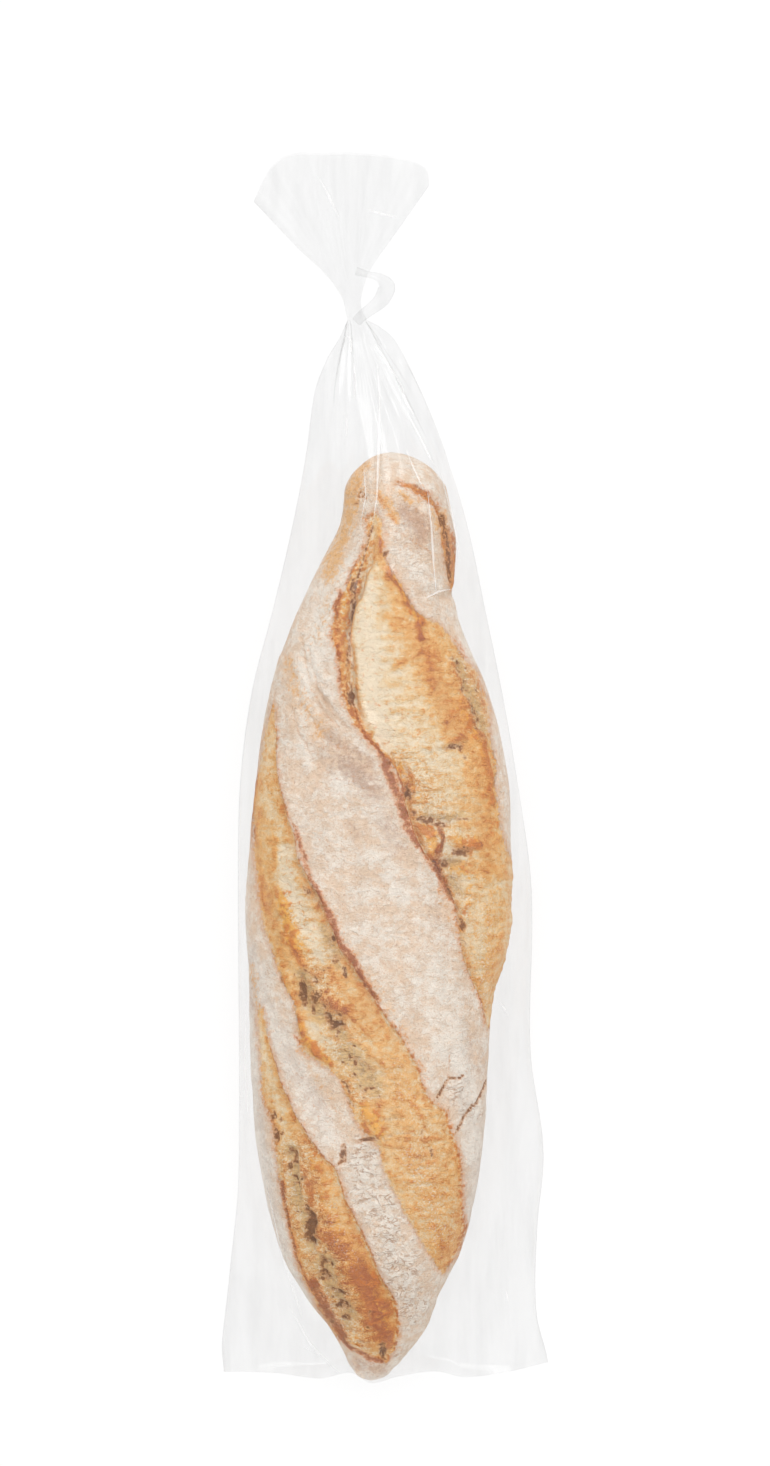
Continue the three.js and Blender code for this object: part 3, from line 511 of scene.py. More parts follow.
# bright orange gold, where thin edges caught the heat
GLOW = [
    (1.4, 2.6, [(283, 892), (289, 915), (298, 940)]),
    (0.6, 2.0, [(256, 775), (255, 800), (256, 835)]),
    (1.1, 1.6, [(299, 1013), (303, 1024)]),
    (1.3, 1.8, [(309, 1036), (317, 1045)]),
    (1.1, 1.4, [(324, 1049), (332, 1057)]),
    (0.6, 2.0, [(278, 965), (288, 988), (298, 1008)]),
    (0.5, 2.6, [(312, 1150), (325, 1185), (338, 1225)]),
    (0.7, 1.3, [(452, 874), (462, 868), (470, 880), (468, 905), (463, 925)]),
    (0.7, 1.5, [(455, 838), (468, 845), (476, 842)]),
    (0.4, 2.0, [(452, 700), (462, 722), (470, 742)]),
    (0.6, 1.4, [(400, 576), (410, 600), (420, 625)]),
    (0.6, 1.2, [(352, 560), (347, 600), (344, 640), (343, 680)]),
    (0.8, 1.1, [(378, 745), (392, 762), (404, 780)]),
    (1.5, 2.0, [(426, 826), (432, 838), (430, 852)]),
    (1.2, 1.6, [(452, 868), (462, 862)]),
    (1.2, 1.4, [(445, 878), (450, 890)]),
    (1.0, 1.3, [(460, 838), (474, 838)]),
    (0.7, 1.0, [(385, 560), (400, 592), (414, 622)]),
    (0.6, 1.0, [(455, 700), (470, 728), (482, 758)]),
    (1.2, 2.6, [(362, 1102), (374, 1110), (380, 1124)]),
    (0.5, 2.4, [(368, 1265), (380, 1290), (386, 1320)]),
    (0.6, 1.0, [(288, 1200), (296, 1240), (310, 1275), (325, 1308)]),
    (0.8, 1.6, [(400, 766), (412, 780), (418, 796)]),
    (0.4, 2.4, [(490, 750), (497, 800), (500, 850)]),
]
STRAND_PLEATS = [  # across the second slash's cream strand
    [(283, 862), (292, 866), (299, 866)], [(285, 874), (294, 878), (303, 877)],
    [(292, 895), (302, 892), (312, 895)], [(296, 908), (306, 904), (317, 906)],
    [(300, 920), (311, 916), (322, 919)], [(306, 933), (316, 929), (327, 932)],
]
# folds and flaps standing up from the crumb: height in mm, half width, run
FOLDS = [
    (1.1, 1.3, [(383, 545), (398, 585), (412, 615), (421, 640)]),
    (1.0, 1.6, [(450, 668), (458, 690), (468, 715), (479, 742), (488, 775)]),
    (1.3, 1.0, [(437, 747), (448, 741), (460, 738)]),
    (0.7, 2.4, [(422, 655), (428, 680), (436, 705), (444, 725)]),
    (0.7, 0.9, [(395, 668), (410, 662), (420, 655)]),
    (0.7, 0.8, [(385, 715), (400, 708), (420, 712)]),
    (0.8, 0.8, [(392, 752), (410, 742), (428, 748)]),
    (1.0, 0.9, [(405, 790), (413, 778), (408, 765)]),
    (1.3, 1.0, [(412, 817), (432, 812), (452, 813)]),
    (1.4, 1.3, [(431, 824), (440, 838), (437, 852), (440, 862)]),
    (1.2, 1.4, [(440, 873), (445, 884), (452, 896)]),
    (1.0, 1.3, [(452, 840), (466, 845), (476, 842)]),
    (0.9, 2.5, [(420, 830), (424, 848)]),
    (1.1, 1.5, [(284, 896), (292, 915), (304, 937)]),
    (0.8, 2.0, [(305, 905), (318, 935), (326, 952)]),
    *[(0.5, 0.6, run) for run in STRAND_PLEATS],
    (1.0, 0.8, [(300, 969), (312, 967), (320, 973)]),
    (0.8, 0.7, [(311, 975), (313, 990), (309, 1000)]),
    (1.0, 1.8, [(328, 1000), (342, 1006)]),
    (1.0, 1.3, [(299, 1013), (304, 1028)]),
    (1.1, 1.4, [(310, 1037), (318, 1046)]),
    (0.9, 1.1, [(325, 1050), (333, 1058)]),
    (0.9, 2.2, [(366, 1106), (376, 1114), (382, 1126)]),
    (0.7, 0.8, [(345, 1010), (360, 1020), (372, 1035)]),
    (0.7, 0.8, [(355, 1040), (372, 1046), (385, 1060)]),
    (0.6, 0.8, [(400, 1090), (415, 1100), (425, 1120)]),
    (0.6, 0.9, [(395, 1150), (410, 1165), (430, 1170)]),
    (0.9, 1.0, [(300, 1160), (304, 1190), (306, 1215)]),
    (0.9, 1.2, [(318, 1240), (330, 1250)]),
    (0.8, 1.1, [(330, 1280), (345, 1285), (352, 1300)]),
    (0.8, 1.2, [(345, 1325), (360, 1335), (375, 1332)]),
]
# loose skin, wrinkled along PULL
WRINKLED = [
    (1.0, 6.5, [(298, 652), (318, 695), (345, 732)]),
    (0.6, 4.0, [(300, 715), (325, 755)]),
    (0.5, 3.0, [(362, 530), (385, 560)]),
]
PULL = (0.62, -0.78)  # the wrinkles' direction
WRINKLE_HEIGHT = 0.9
# how broken the torn crumb is, over what it is everywhere
ROUGH = [
    (0.6, 7.0, [(405, 760), (430, 800), (440, 850)]),
    (0.9, 3.4, [(460, 665), (470, 695), (480, 730)]),
    (-0.2, 6.0, [(375, 590), (375, 650), (385, 720)]),
    (-0.2, 4.0, [(262, 800), (265, 900)]),
    (0.6, 6.0, [(318, 975), (340, 1030), (365, 1090)]),
    (0.3, 4.0, [(300, 900), (318, 950)]),
    (0.2, 8.0, [(425, 1130), (440, 1230)]),
    (0.9, 6.5, [(297, 1150), (312, 1220), (335, 1280), (360, 1330)]),
]
# thin cracks in the floury skin: depth, half width, darkness of the painted shade in them, and a run of
# (x, y) in mm
CRACKS = [
    (0.6, 0.42, 1.1, [(19.4, -120.0), (21.8, -115.6), (23.4, -113.3), (27.0, -113.3), (28.5, -112.1)]),
    (0.3, 0.35, 0.4, [(23.0, -112.5), (24.0, -103.0)]),
    (0.6, 0.42, 1.1, [
        (37.0, -115.1), (35.2, -119.1), (33.7, -122.5), (31.5, -123.6), (28.9, -127.7), (27.0, -132.1),
    ]),
    (0.6, 0.6, 0.25, [(-30.5, 48), (-29, 38), (-27, 30), (-23, 22), (-17, 15)]),
    (0.6, 0.6, 0.25, [(-28, 44), (-26.5, 36), (-24, 28), (-19, 20), (-13.5, 14)]),
    (0.6, 0.6, 0.22, [(-32.5, 28), (-28, 20), (-22, 12), (-15, 6)]),
    (0.5, 0.6, 0.22, [(-34, 22), (-31, 12), (-26, 4), (-19, -2)]),
    (0.3, 0.4, 0.35, [(-3.3, 90.7), (6.7, 85.1), (16.7, 78.6)]),
    (0.2, 0.4, 0.25, [(-2.2, 87.6), (6.0, 82.6), (13.5, 77.8)]),
]
KNOB_FOLD = [(27, 64.5), (21, 62.5), (14, 64)]  # where the knob's skin folds in over the first slash
KNOB_FOLD_DEPTH = 1.3
KNOB_FOLD_WIDTH = 2.2


# ---------------------------------------------------------------- helpers

def through(stations, at):
    """The smooth curve through (at, value) stations, held level past its ends."""
    xs, ys = np.array(stations, float).T
    at = np.clip(at, xs[0], xs[-1])
    i = np.clip(np.searchsorted(xs, at, side="right") - 1, 0, len(xs) - 2)
    order = np.arange(len(xs))
    before = np.maximum(order - 1, 0)
    after = np.minimum(order + 1, len(xs) - 1)
    slope = (ys[after] - ys[before]) / (xs[after] - xs[before])
    span = xs[i + 1] - xs[i]
    t = (at - xs[i]) / span
    bend = t * t * (3 - 2 * t)
    leave = t * (1 - t) ** 2 * span * slope[i]
    arrive = t * t * (t - 1) * span * slope[i + 1]
    return ys[i] + (ys[i + 1] - ys[i]) * bend + leave + arrive


def smooth(value, start, end):
    """0 at `start`, 1 at `end`, eased in between."""
    t = np.clip((value - start) / (end - start), 0, 1)
    return t * t * (3 - 2 * t)


def scatter(ix, iy, iz, seed):
    """A repeatable number from 0 to 1 for each whole-number lattice point."""
    h = (ix * 374761393 + iy * 668265263 + iz * 1274126177 + seed * 69069) & 0xFFFFFFFF
    h = ((h ^ (h >> 13)) * 1103515245) & 0xFFFFFFFF
    h = ((h ^ (h >> 15)) * 12820163) & 0xFFFFFFFF
    return ((h >> 8) & 0xFFFF) / 65535.0


def noise(points, size, seed):
    """Smooth noise from -1 to 1 at (..., 3) points; `size` is a feature's size in mm."""
    q = np.asarray(points, float) / np.asarray(size, float)
    whole = np.floor(q).astype(np.int64)
    f = q - whole
    f = f * f * (3 - 2 * f)
    total = np.zeros(q.shape[:-1])
    for dx in (0, 1):
        for dy in (0, 1):
            for dz in (0, 1):
                weight = (
                    (f[..., 0] if dx else 1 - f[..., 0])
                    * (f[..., 1] if dy else 1 - f[..., 1])
                    * (f[..., 2] if dz else 1 - f[..., 2])
                )
                corner = scatter(whole[..., 0] + dx, whole[..., 1] + dy, whole[..., 2] + dz, seed)
                total += weight * corner
    return total * 2 - 1


def layered(points, size, seed, octaves=3):
    """Noise with finer and fainter copies of itself added."""
    total = 0
    for k in range(octaves):
        total = total + noise(points, np.asarray(size, float) / 2**k, seed + 17 * k) / 2**k
    return total / (2 - 2 ** (1 - octaves))


def spaced(chain, count):
    """`count` + 1 points evenly spaced along a (n, k) chain, by its first two columns."""
    step = np.hypot(*np.diff(chain[:, :2], axis=0).T)
    run = np.concatenate([[0], np.cumsum(step)])
    goal = np.linspace(0, run[-1], count + 1)
    return np.stack([np.interp(goal, run, column) for column in chain.T], axis=1)


def pits(x, y, rows, ragged):
    """The depths of oval holes with ragged edges, added up; `ragged` moves each edge in or out."""
    total = np.zeros_like(x)
    for px, py, across, along, turn, depth in rows:
        reach = PIT_REACH * max(across, along)
        near = (np.abs(x - px) < reach) & (np.abs(y - py) < reach)
        if not near.any():
            continue
        c, s = math.cos(math.radians(turn)), math.sin(math.radians(turn))
        dx, dy = x[near] - px, y[near] - py
        u = (dx * c + dy * s) / across
        v = (dy * c - dx * s) / along
        r = np.maximum(np.hypot(u, v) + ragged[near], 0)
        total[near] += depth * np.exp(-(r**PIT_SHARPNESS))
    return total


def away_from(x, y, run):
    """Each point's distance from a run of (x, y) points."""
    best = np.full(x.shape, 1e9)
    for a, b in zip(run[:-1], run[1:]):
        dx, dy = b[0] - a[0], b[1] - a[1]
        t = np.clip(((x - a[0]) * dx + (y - a[1]) * dy) / (dx * dx + dy * dy), 0, 1)
        best = np.minimum(best, np.hypot(x - a[0] - t * dx, y - a[1] - t * dy))
    return best


def seen(run):
    """Points in the photo's pixels as (x, y) in mm."""
    middle_x, middle_y = PHOTO_WIDTH / 2, PHOTO_HEIGHT / 2 + PHOTO_MIDDLE_Y / MM_PER_PIXEL
    return [((px - middle_x) * MM_PER_PIXEL, (middle_y - py) * MM_PER_PIXEL) for px, py in run]


def streaks(x, y, rows, join="add"):
    """The rows' streaks, each (amount, half width, run, ...), added up or the strongest."""
    total = np.zeros_like(x)
    for amount, half, run, *_ in rows:
        run = seen(run)
        low, high = np.min(run, axis=0) - 3 * half, np.max(run, axis=0) + 3 * half
        near = (x > low[0]) & (x < high[0]) & (y > low[1]) & (y < high[1])
        if not near.any():
            continue
        mark = amount * np.exp(-((away_from(x[near], y[near], run) / half) ** 2))
        total[near] = total[near] + mark if join == "add" else np.maximum(total[near], mark)
    return total


# ---------------------------------------------------------------- the loaf's smooth form

def end_round(distance, radius):
    """How an end's section grows with its distance from the end, as on a ball."""
    return np.sqrt(np.maximum(1 - (1 - np.clip(distance / radius, 0, 1)) ** 2, 0))


def loaf_size(y):
    """Middle x, height of the widest place, half width and rise above it, along the loaf."""
    middle = through(MIDDLE_X, y)
    line_z = through(WAIST_LINE_Z, y)
    ends = end_round(y - LOAF_TIP_Y, TIP_ROUND) * end_round(LOAF_KNOB_Y - y, KNOB_ROUND)
    across = np.maximum(through(HALF_WIDTH, y) * LOAF_WIDTH / 2 - FILM_GAP, TIP_LEAST) * ends
    rise = np.maximum(through(TOP, y) * LOAF_HEIGHT - line_z - FILM_GAP, TIP_LEAST - 1) * ends
    return middle, line_z, across, rise


def loaf_rows():
    """The rows' y, closer together round the tip and the knob."""
    tip_turn = np.linspace(TIP_FIRST, 1, TIP_ROWS) * np.pi / 2
    knob_turn = np.linspace(KNOB_FIRST, 1, KNOB_ROWS) * np.pi / 2
    tip = LOAF_TIP_Y + TIP_ROUND * (1 - np.cos(tip_turn))
    knob = LOAF_KNOB_Y - KNOB_ROUND * (1 - np.cos(knob_turn))[::-1]
    count = int((knob[0] - tip[-1]) / LOAF_PITCH)
    middle = np.linspace(tip[-1], knob[0], count + 1)
    return np.concatenate([tip, middle[1:-1], knob])


def loaf_grid():
    """Points (rows, columns, 3) and each point's side coordinate, which on top is its x and
    past the widest place runs on down the flank."""
    top_turn = np.linspace(0, np.pi, ARC_STEPS)
    under_turn = top_turn + np.pi
    rings, sides = [], []
    for y in loaf_rows():
        middle, line_z, across, rise = (float(v) for v in loaf_size(y))

        def arc(turn, count):
            x = middle + across * np.cos(turn)
            z = np.maximum(line_z + rise * np.sin(turn), REST_Z)
            return spaced(np.stack([x, z], 1), count)[:-1]

        over, under = arc(top_turn, LOAF_COLUMNS_TOP), arc(under_turn, LOAF_COLUMNS_UNDER)
        ring = np.concatenate([over, under])
        step = np.hypot(*np.diff(np.concatenate([under, over[:1]]), axis=0).T)
        run = np.concatenate([[0], np.cumsum(step)])
        left = middle - across - run[:-1]
        right = middle + across + run[-1] - run[:-1]
        down = np.where(run[:-1] < run[-1] / 2, left, right)
        rings.append(np.stack([ring[:, 0], np.full(len(ring), y), ring[:, 1]], 1))
        sides.append(np.concatenate([over[:, 0], down]))
    return np.array(rings), np.array(sides)


def grid_frame(points):
    """Outward normals and the direction towards +X round each ring of a grid."""
    round_step = np.roll(points, -1, axis=1) - np.roll(points, 1, axis=1)
    along_step = np.gradient(points, axis=0)
    normal = np.cross(along_step, round_step)
    normal /= np.maximum(np.linalg.norm(normal, axis=2, keepdims=True), 1e-9)
    sideways = -round_step / np.maximum(np.linalg.norm(round_step, axis=2, keepdims=True), 1e-9)
    return normal, sideways


# ---------------------------------------------------------------- the crust

DEEPEST = 6.0  # mm inside or outside a slash, past which its distance no longer counts
EDGE_WANDER = 0.6  # how far a slash's edge strays, in long waves and in short ones
EDGE_JITTER = 0.12
EDGE_NOISE_APART = 7.3  # mm in the noise between one slash's edges and the next one's
LEAN_REACH = 0.5  # mm up and down an edge over which its slant is taken
EAR_SPREAD = 4.2  # how far back the skin is lifted behind an ear
EAR_LEAN = 0.9  # how far an ear leans out over its slash
ROOT_HALF = 1.3  # half width of the gap at an ear's root
BULGE = 0.9  # how far the crumb rises again in a wide slash
FAR_SINK = 0.35  # how far the crumb sinks along the edge without an ear
CREST_STEP = 0.5  # mm above the places round it that counts as fully standing out
BAKED_RISE = 1.1  # mm that torn crumb stands higher for each step of toast over BAKED_LEVEL
BAKED_LEVEL = 0.4
ASH_SINK = 0.8
ROUGH_EVERYWHERE = 0.25
FLOUR_EVERYWHERE = 0.3


def slash_distances(slash, side, y, seed):
    """How far each point is inside a slash's ragged left and right edge, and how wide it is there."""
    line = np.stack([np.full_like(y, seed * EDGE_NOISE_APART), y, np.zeros_like(y)], axis=-1)

    def edge_and_lean(name, salt):
        wander = EDGE_WANDER * noise(line, 6.0, salt) + EDGE_JITTER * noise(line, 2.4, salt + 5)
        edge = through(slash[name], y)
        before, after = through(slash[name], y - LEAN_REACH), through(slash[name], y + LEAN_REACH)
        return edge + wander, np.sqrt(1 + ((after - before) / (2 * LEAN_REACH)) ** 2)

    left, left_lean = edge_and_lean("left", seed)
    right, right_lean = edge_and_lean("right", seed + 9)
    top = min(slash["left"][-1][0], slash["right"][-1][0])
    bottom = max(slash["left"][0][0], slash["right"][0][0])
    past = np.maximum(np.maximum(y - top, bottom - y), 0)
    return (side - left) / left_lean - past, (right - side) / right_lean - past, right - left


def torn_grain(flat, rough):
    """How the torn crumb rises and falls: ripples across the slash and lumps."""
    ripple = 1 - np.abs(noise(flat, (5, 1.5, 5), 32)) * 2
    ripple_across = noise(flat, (13, 1.9, 9), 31)
    lumps = layered(flat, 6.0, 33, 3)
    return (0.3 * ripple + 0.5 * ripple_across + 0.7 * lumps) * (0.55 + 0.9 * rough)


def slash_relief(flat, grain):
    """The slashes' relief along the normal, its shift towards +X, and their masks."""
    x, y = flat[..., 0], flat[..., 1]
    height, shift, rim, face, toast_and_shade = (np.zeros_like(x) for _ in range(5))
    torn = np.full_like(x, -DEEPEST)
    for k, slash in enumerate(SLASHES):
        from_left, from_right, width = slash_distances(slash, x, y, 101 + 20 * k)
        inside = np.minimum(from_left, from_right)
        ear, far = (from_left, from_right) if slash["ear"] == "left" else (from_right, from_left)
        outward = 1 if slash["ear"] == "left" else -1
        size = smooth(width, 0.8, 9)
        wall = through(slash["wall"], y)
        across = np.clip(ear / np.maximum(ear + np.maximum(far, 0), 0.3), 0, 1)

        # the lifted ear, its torn face, the gap at its root and the crumb beyond
        lift = through(slash["ear_height"], y) * size * (1 + 0.35 * noise(flat, (5, 5, 5), 40 + k))
        ridge = lift * np.exp(-((np.minimum(ear, 0) / EAR_SPREAD) ** 2)) * smooth(far, -3, 1)
        down = smooth(ear, 0, wall)
        level = -through(slash["sunk"], y) * size * (1 - across) ** 0.8
        level += BULGE * size * np.sin(np.pi * across) * smooth(width, 8, 26)
        near_root = np.exp(-(((ear - wall) / ROOT_HALF) ** 2)) * smooth(far, 0, 2.5)
        root = through(slash["gap"], y) * size * near_root
        tear = grain * smooth(inside, 0, 2.5) * (0.35 + 0.65 * size)
        in_slash = smooth(inside, -0.7, 0.8)
        height += np.where(ear < 0, ridge, ridge * (1 - down)) + in_slash * (down * level - root + tear)
        height -= FAR_SINK * size * smooth(far, 1.2, 0) * in_slash
        leaning = np.exp(-(((ear + 0.6) / 2.0) ** 2)) * smooth(far, 0, 2)
        shift += outward * EAR_LEAN * size * leaning

        # where it is torn, how brown its rim is, its torn face and how far it is baked
        torn = np.maximum(torn, np.clip(inside, -DEEPEST, DEEPEST))
        edge = np.exp(-(((ear + 0.1) / 1.3) ** 2)) * smooth(far, -0.3, 1.2) * smooth(width, 0.6, 3)
        rim = np.maximum(rim, edge * (slash["rim"] + 0.4 * noise(flat, (4, 4, 4), 60 + k)))
        torn_face = smooth(ear, -1, 0.4) * smooth(ear, wall + 0.7, wall - 0.5) * smooth(far, -0.5, 0.8)
        face = np.maximum(face, size * torn_face)
        near_ear, near_far = slash["toast_and_shade"]
        baked = near_ear + (near_far - near_ear) * smooth(across, 0.3, 0.85)
        # painted shade: browner in the gap at the ear's root
        toast_and_shade = np.where(inside > -1.5, baked + 0.3 * np.clip(root, 0, 1.2), toast_and_shade)
    return height, shift, {"torn": torn, "rim": rim, "face": face, "toast_and_shade": toast_and_shade}


def hole_relief(flat, warp, rough, ash, in_torn):
    """Relief of the holes and gaps in the crumb, and the painted shade that darkens them."""
    x, y = flat[..., 0], flat[..., 1]
    ragged = 0.35 * noise(flat, 1.6, 71) + 0.22 * noise(flat, 0.9, 72)
    hole_shade = pits(x, y, HOLES, ragged)
    # pocks: small holes over the torn crumb, in painted shade like the holes
    pocks = smooth(noise(flat, (2.2, 1.6, 2), 74) + 0.5 * noise(flat, 1.0, 75), 0.45, 0.95)
    hole_shade += 1.7 * pocks * in_torn * (0.5 * rough + ash)
    height = -PIT_SHARE * hole_shade
    gap_shade = np.zeros_like(x)
    for row in GAP:
        shade_darkness, depth = row[0], row[3]
        mark = streaks(x + 0.35 * warp[0], y + 0.35 * warp[1], [row])
        height -= depth * mark / shade_darkness
        gap_shade = np.maximum(gap_shade, mark)
    return height, np.maximum(hole_shade / 2.1, 0.9 * gap_shade)


def skin_relief(flat, place, skin, scaly):
    """Relief of the skin's bumps, scales, wrinkles and cracks, and the painted shade in the cracks."""
    x, y, z = (flat[..., i] for i in range(3))
    scales = 1 - 2 * np.abs(noise(flat, (4.2, 2.6, 3), 85)) + 0.5 * noise(flat, 1.5, 86)
    bumps = 0.55 * noise(flat, 24, 81) + 0.2 * noise(flat, 8, 82) + 0.14 * layered(flat, 3.0, 83, 2)
    height = skin * bumps + 0.55 * scaly * scales
    pulled = np.stack([x * PULL[1] - y * PULL[0], x * PULL[0] + y * PULL[1], z], axis=-1)
    wrinkles = streaks(*place, WRINKLED, "most") * noise(pulled, (1.6, 10, 9), 87)
    height += WRINKLE_HEIGHT * wrinkles * skin
    shade_amount = np.zeros_like(x)
    wander = 0.5 * noise(flat, 3, 84)
    for depth, half, shade_darkness, run in CRACKS:
        mark = np.exp(-((away_from(x + wander, y + wander, run) / half) ** 2))
        height -= depth * mark * skin
        shade_amount = np.maximum(shade_amount, shade_darkness * mark)
    height -= KNOB_FOLD_DEPTH * np.exp(-((away_from(x, y, KNOB_FOLD) / KNOB_FOLD_WIDTH) ** 2))
    return height, shade_amount


def standing_out(height):
    """How far each point of a grid stands out from the places round it, -1 to 1."""
    level = height
    for _ in range(4):
        level = (np.roll(level, 1, 1) + np.roll(level, -1, 1) + 2 * level) / 4
        level[1:-1] = (level[:-2] + level[2:] + 2 * level[1:-1]) / 4
    return np.clip((height - level) / CREST_STEP, -1, 1)


def crust(points, side):
    """Relief along the normal, shift towards +X, and the masks that the crust's colour needs."""
    x, y = side, points[..., 1]
    flat = np.stack([x, y, points[..., 2]], axis=-1)
    warp = (
        1.0 * noise(flat, 5, 34) + 0.35 * noise(flat, 2.6, 35),
        1.2 * noise(flat, 5, 36) + 0.6 * noise(flat, 2.2, 37),
    )
    place = (x + warp[0], y + warp[1])
    rough = np.clip(ROUGH_EVERYWHERE + streaks(*place, ROUGH), 0, 1)
    height, shift, torn_masks = slash_relief(flat, torn_grain(flat, rough))

    torn = torn_masks["torn"]
    toast_and_shade = np.maximum(torn_masks["toast_and_shade"], 0.5 * torn_masks["face"]) + streaks(*place, TOAST_AND_SHADE)
    rim_streaks = streaks(x + 0.5 * warp[0], y + 0.5 * warp[1], RIM, "most")
    ash = streaks(*place, ASH, "most")
    in_torn = smooth(torn, 0, 1.2)
    folds = streaks(*place, FOLDS) - streaks(*place, HOLLOWS)
    height += in_torn * (BAKED_RISE * (toast_and_shade - BAKED_LEVEL) - ASH_SINK * ash + folds)
    hole_height, hole_shade = hole_relief(flat, warp, rough, ash, in_torn)
    skin = smooth(torn, 0.4, -0.8)
    scaly = streaks(*place, SCALY, "most") * skin
    skin_height, crack_shade = skin_relief(flat, place, skin, scaly)
    height += hole_height + skin_height

    masks = {
        "torn": torn,
        "rim": np.clip(np.maximum(torn_masks["rim"], rim_streaks), 0, 1.3),
        "toast_and_shade": np.clip(toast_and_shade, -0.4, 1.4),
        "crest": standing_out(height),
        # painted shade of the holes, gaps and cracks
        "hole_shade": np.clip(hole_shade + 0.9 * crack_shade, 0, 1.3),
        "ash": np.clip(ash, 0, 1),
        "face": torn_masks["face"],
        "flour": np.clip(FLOUR_EVERYWHERE + streaks(*place, FLOUR), 0, 1.6),
        "scaly": scaly,
        "rough": rough,
    }
    shades = {"blush": BLUSH, "mauve": MAUVE, "dust": DUST, "grey_and_glare": GREY_AND_GLARE, "glow": GLOW}
    for name, rows in shades.items():
        masks[name] = np.clip(streaks(*place, rows, "most"), 0, 1)
    return height, shift, masks


# ---------------------------------------------------------------- mesh makers

def grid_faces(rows, columns):
    """Quads over a grid of closed rings, facing outward for rings that run from +X over the top."""
    r = np.arange(rows - 1)[:, None]
    c = np.arange(columns)[None, :]
    after = (c + 1) % columns
    a, b = r * columns + c, (r + 1) * columns + c
    d, e = (r + 1) * columns + after, r * columns + after
    return np.stack([a, b, d, e], axis=-1).reshape(-1, 4)


def make_mesh(name, points, faces, masks=None, flat=False):
    """A mesh object in metres from points in mm; masks become float attributes."""
    mesh = bpy.data.meshes.new(name)
    mesh.from_pydata((np.asarray(points).reshape(-1, 3) * MM).tolist(), [], [list(f) for f in faces])
    mesh.validate()
    if not flat:
        mesh.shade_smooth()
    for key, values in (masks or {}).items():
        layer = mesh.attributes.new(key, "FLOAT", "POINT")
        layer.data.foreach_set("value", np.asarray(values, np.float32).ravel())
    obj = bpy.data.objects.new(name, mesh)
    bpy.context.scene.collection.objects.link(obj)
    return obj


def finish_piece(obj, material):
    """Dress a piece, and say what it rides on, replaces and is made of."""
    obj.data.materials.append(material)
    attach(obj, "root")
    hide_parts(BAG_NODE)


# ---------------------------------------------------------------- material helpers

def tint(red, green, blue):
    """A colour given as it looks on screen, 0 to 255, as linear light."""
    def line(v):
        v = v / 255
        return v / 12.92 if v <= 0.04045 else ((v + 0.055) / 1.055) ** 2.4
    return (line(red), line(green), line(blue), 1)


def set_range(node, low, high, to_low, to_high):
    """Set what a Map Range node turns into what."""
    limits = {"From Min": low, "From Max": high, "To Min": to_low, "To Max": to_high}
    for key, number in limits.items():
        node.inputs[key].default_value = number


class Nodes:
    """Short ways to add and wire shader nodes."""

    def __init__(self, name):
        self.material = bpy.data.materials.new(name)
        self.material.use_nodes = True
        self.tree = self.material.node_tree
        self.tree.nodes.clear()
        self.out = self.tree.nodes.new("ShaderNodeOutputMaterial")
        self.place = self.tree.nodes.new("ShaderNodeTexCoord").outputs["Object"]

    def add(self, kind, **settings):
        node = self.tree.nodes.new(kind)
        for key, value in settings.items():
            setattr(node, key, value)
        return node

    def link(self, source, socket):
        if isinstance(source, (int, float, tuple)):
            socket.default_value = source
        else:
            self.tree.links.new(source, socket)

    def mask(self, name):
        return self.add("ShaderNodeAttribute", attribute_name=name).outputs["Fac"]

    def math(self, operation, a, b=0.0):
        node = self.add("ShaderNodeMath", operation=operation)
        self.link(a, node.inputs[0])
        self.link(b, node.inputs[1])
        return node.outputs[0]

    def plus(self, *terms):
        return functools.reduce(lambda a, b: self.math("ADD", a, b), terms)

    def times(self, *terms):
        return functools.reduce(lambda a, b: self.math("MULTIPLY", a, b), terms)

    def about(self, value, amount):
        """A value from 0 to 1 as an offset round zero, `amount` from end to end."""
        return self.times(self.math("SUBTRACT", value, 0.5), amount)

    def remap(self, value, low, high, to_low=0.0, to_high=1.0):
        node = self.add("ShaderNodeMapRange", interpolation_type="SMOOTHSTEP")
        self.link(value, node.inputs["Value"])
        set_range(node, low, high, to_low, to_high)
        return node.outputs["Result"]

    def grain(self, size_mm, detail=3.0, rough=0.55, stretch=(1, 1, 1), distort=0.0):
        """Noise from 0 to 1 whose features are about size_mm across."""
        scale = self.add("ShaderNodeMapping")
        self.link(self.place, scale.inputs["Vector"])
        scale.inputs["Scale"].default_value = tuple(1 / (size_mm * MM * s) for s in stretch)
        node = self.add("ShaderNodeTexNoise")
        self.link(scale.outputs[0], node.inputs["Vector"])
        node.inputs["Scale"].default_value = 1.0
        node.inputs["Detail"].default_value = detail
        node.inputs["Roughness"].default_value = rough
        node.inputs["Distortion"].default_value = distort
        return node.outputs["Fac"]

    def cracks(self, noise, width):
        """1 on the wavy lines where a noise passes its middle value, 0 beyond `width` of it."""
        return self.remap(self.math("ABSOLUTE", self.math("SUBTRACT", noise, 0.5)), width, 0.0)

    def blend(self, share, a, b):
        """`share` of colour b over colour a."""
        node = self.add("ShaderNodeMix", data_type="RGBA")
        self.link(share, node.inputs["Factor"])
        self.link(a, node.inputs[6])
        self.link(b, node.inputs[7])
        return node.outputs[2]

    def ramp(self, value, stops):
        node = self.add("ShaderNodeValToRGB")
        self.link(value, node.inputs[0])
        elements = node.color_ramp.elements
        while len(elements) < len(stops):
            elements.new(0.5)
        for element, (at, colour) in zip(elements, stops):
            element.position = at
            element.color = colour
        return node.outputs["Color"]

    def bump(self, height, distance_mm, strength):
        node = self.add("ShaderNodeBump")
        node.inputs["Strength"].default_value = strength
        node.inputs["Distance"].default_value = distance_mm * MM
        self.link(height, node.inputs["Height"])
        return node.outputs["Normal"]

    def surface(self, **values):
        """A Principled shader on the material's output, its sockets set to `values`."""
        shader = self.add("ShaderNodeBsdfPrincipled")
        for key, value in values.items():
            self.link(value, shader.inputs[key.replace("_", " ")])
        self.link(shader.outputs[0], self.out.inputs["Surface"])
        return shader


# ---------------------------------------------------------------- crust material

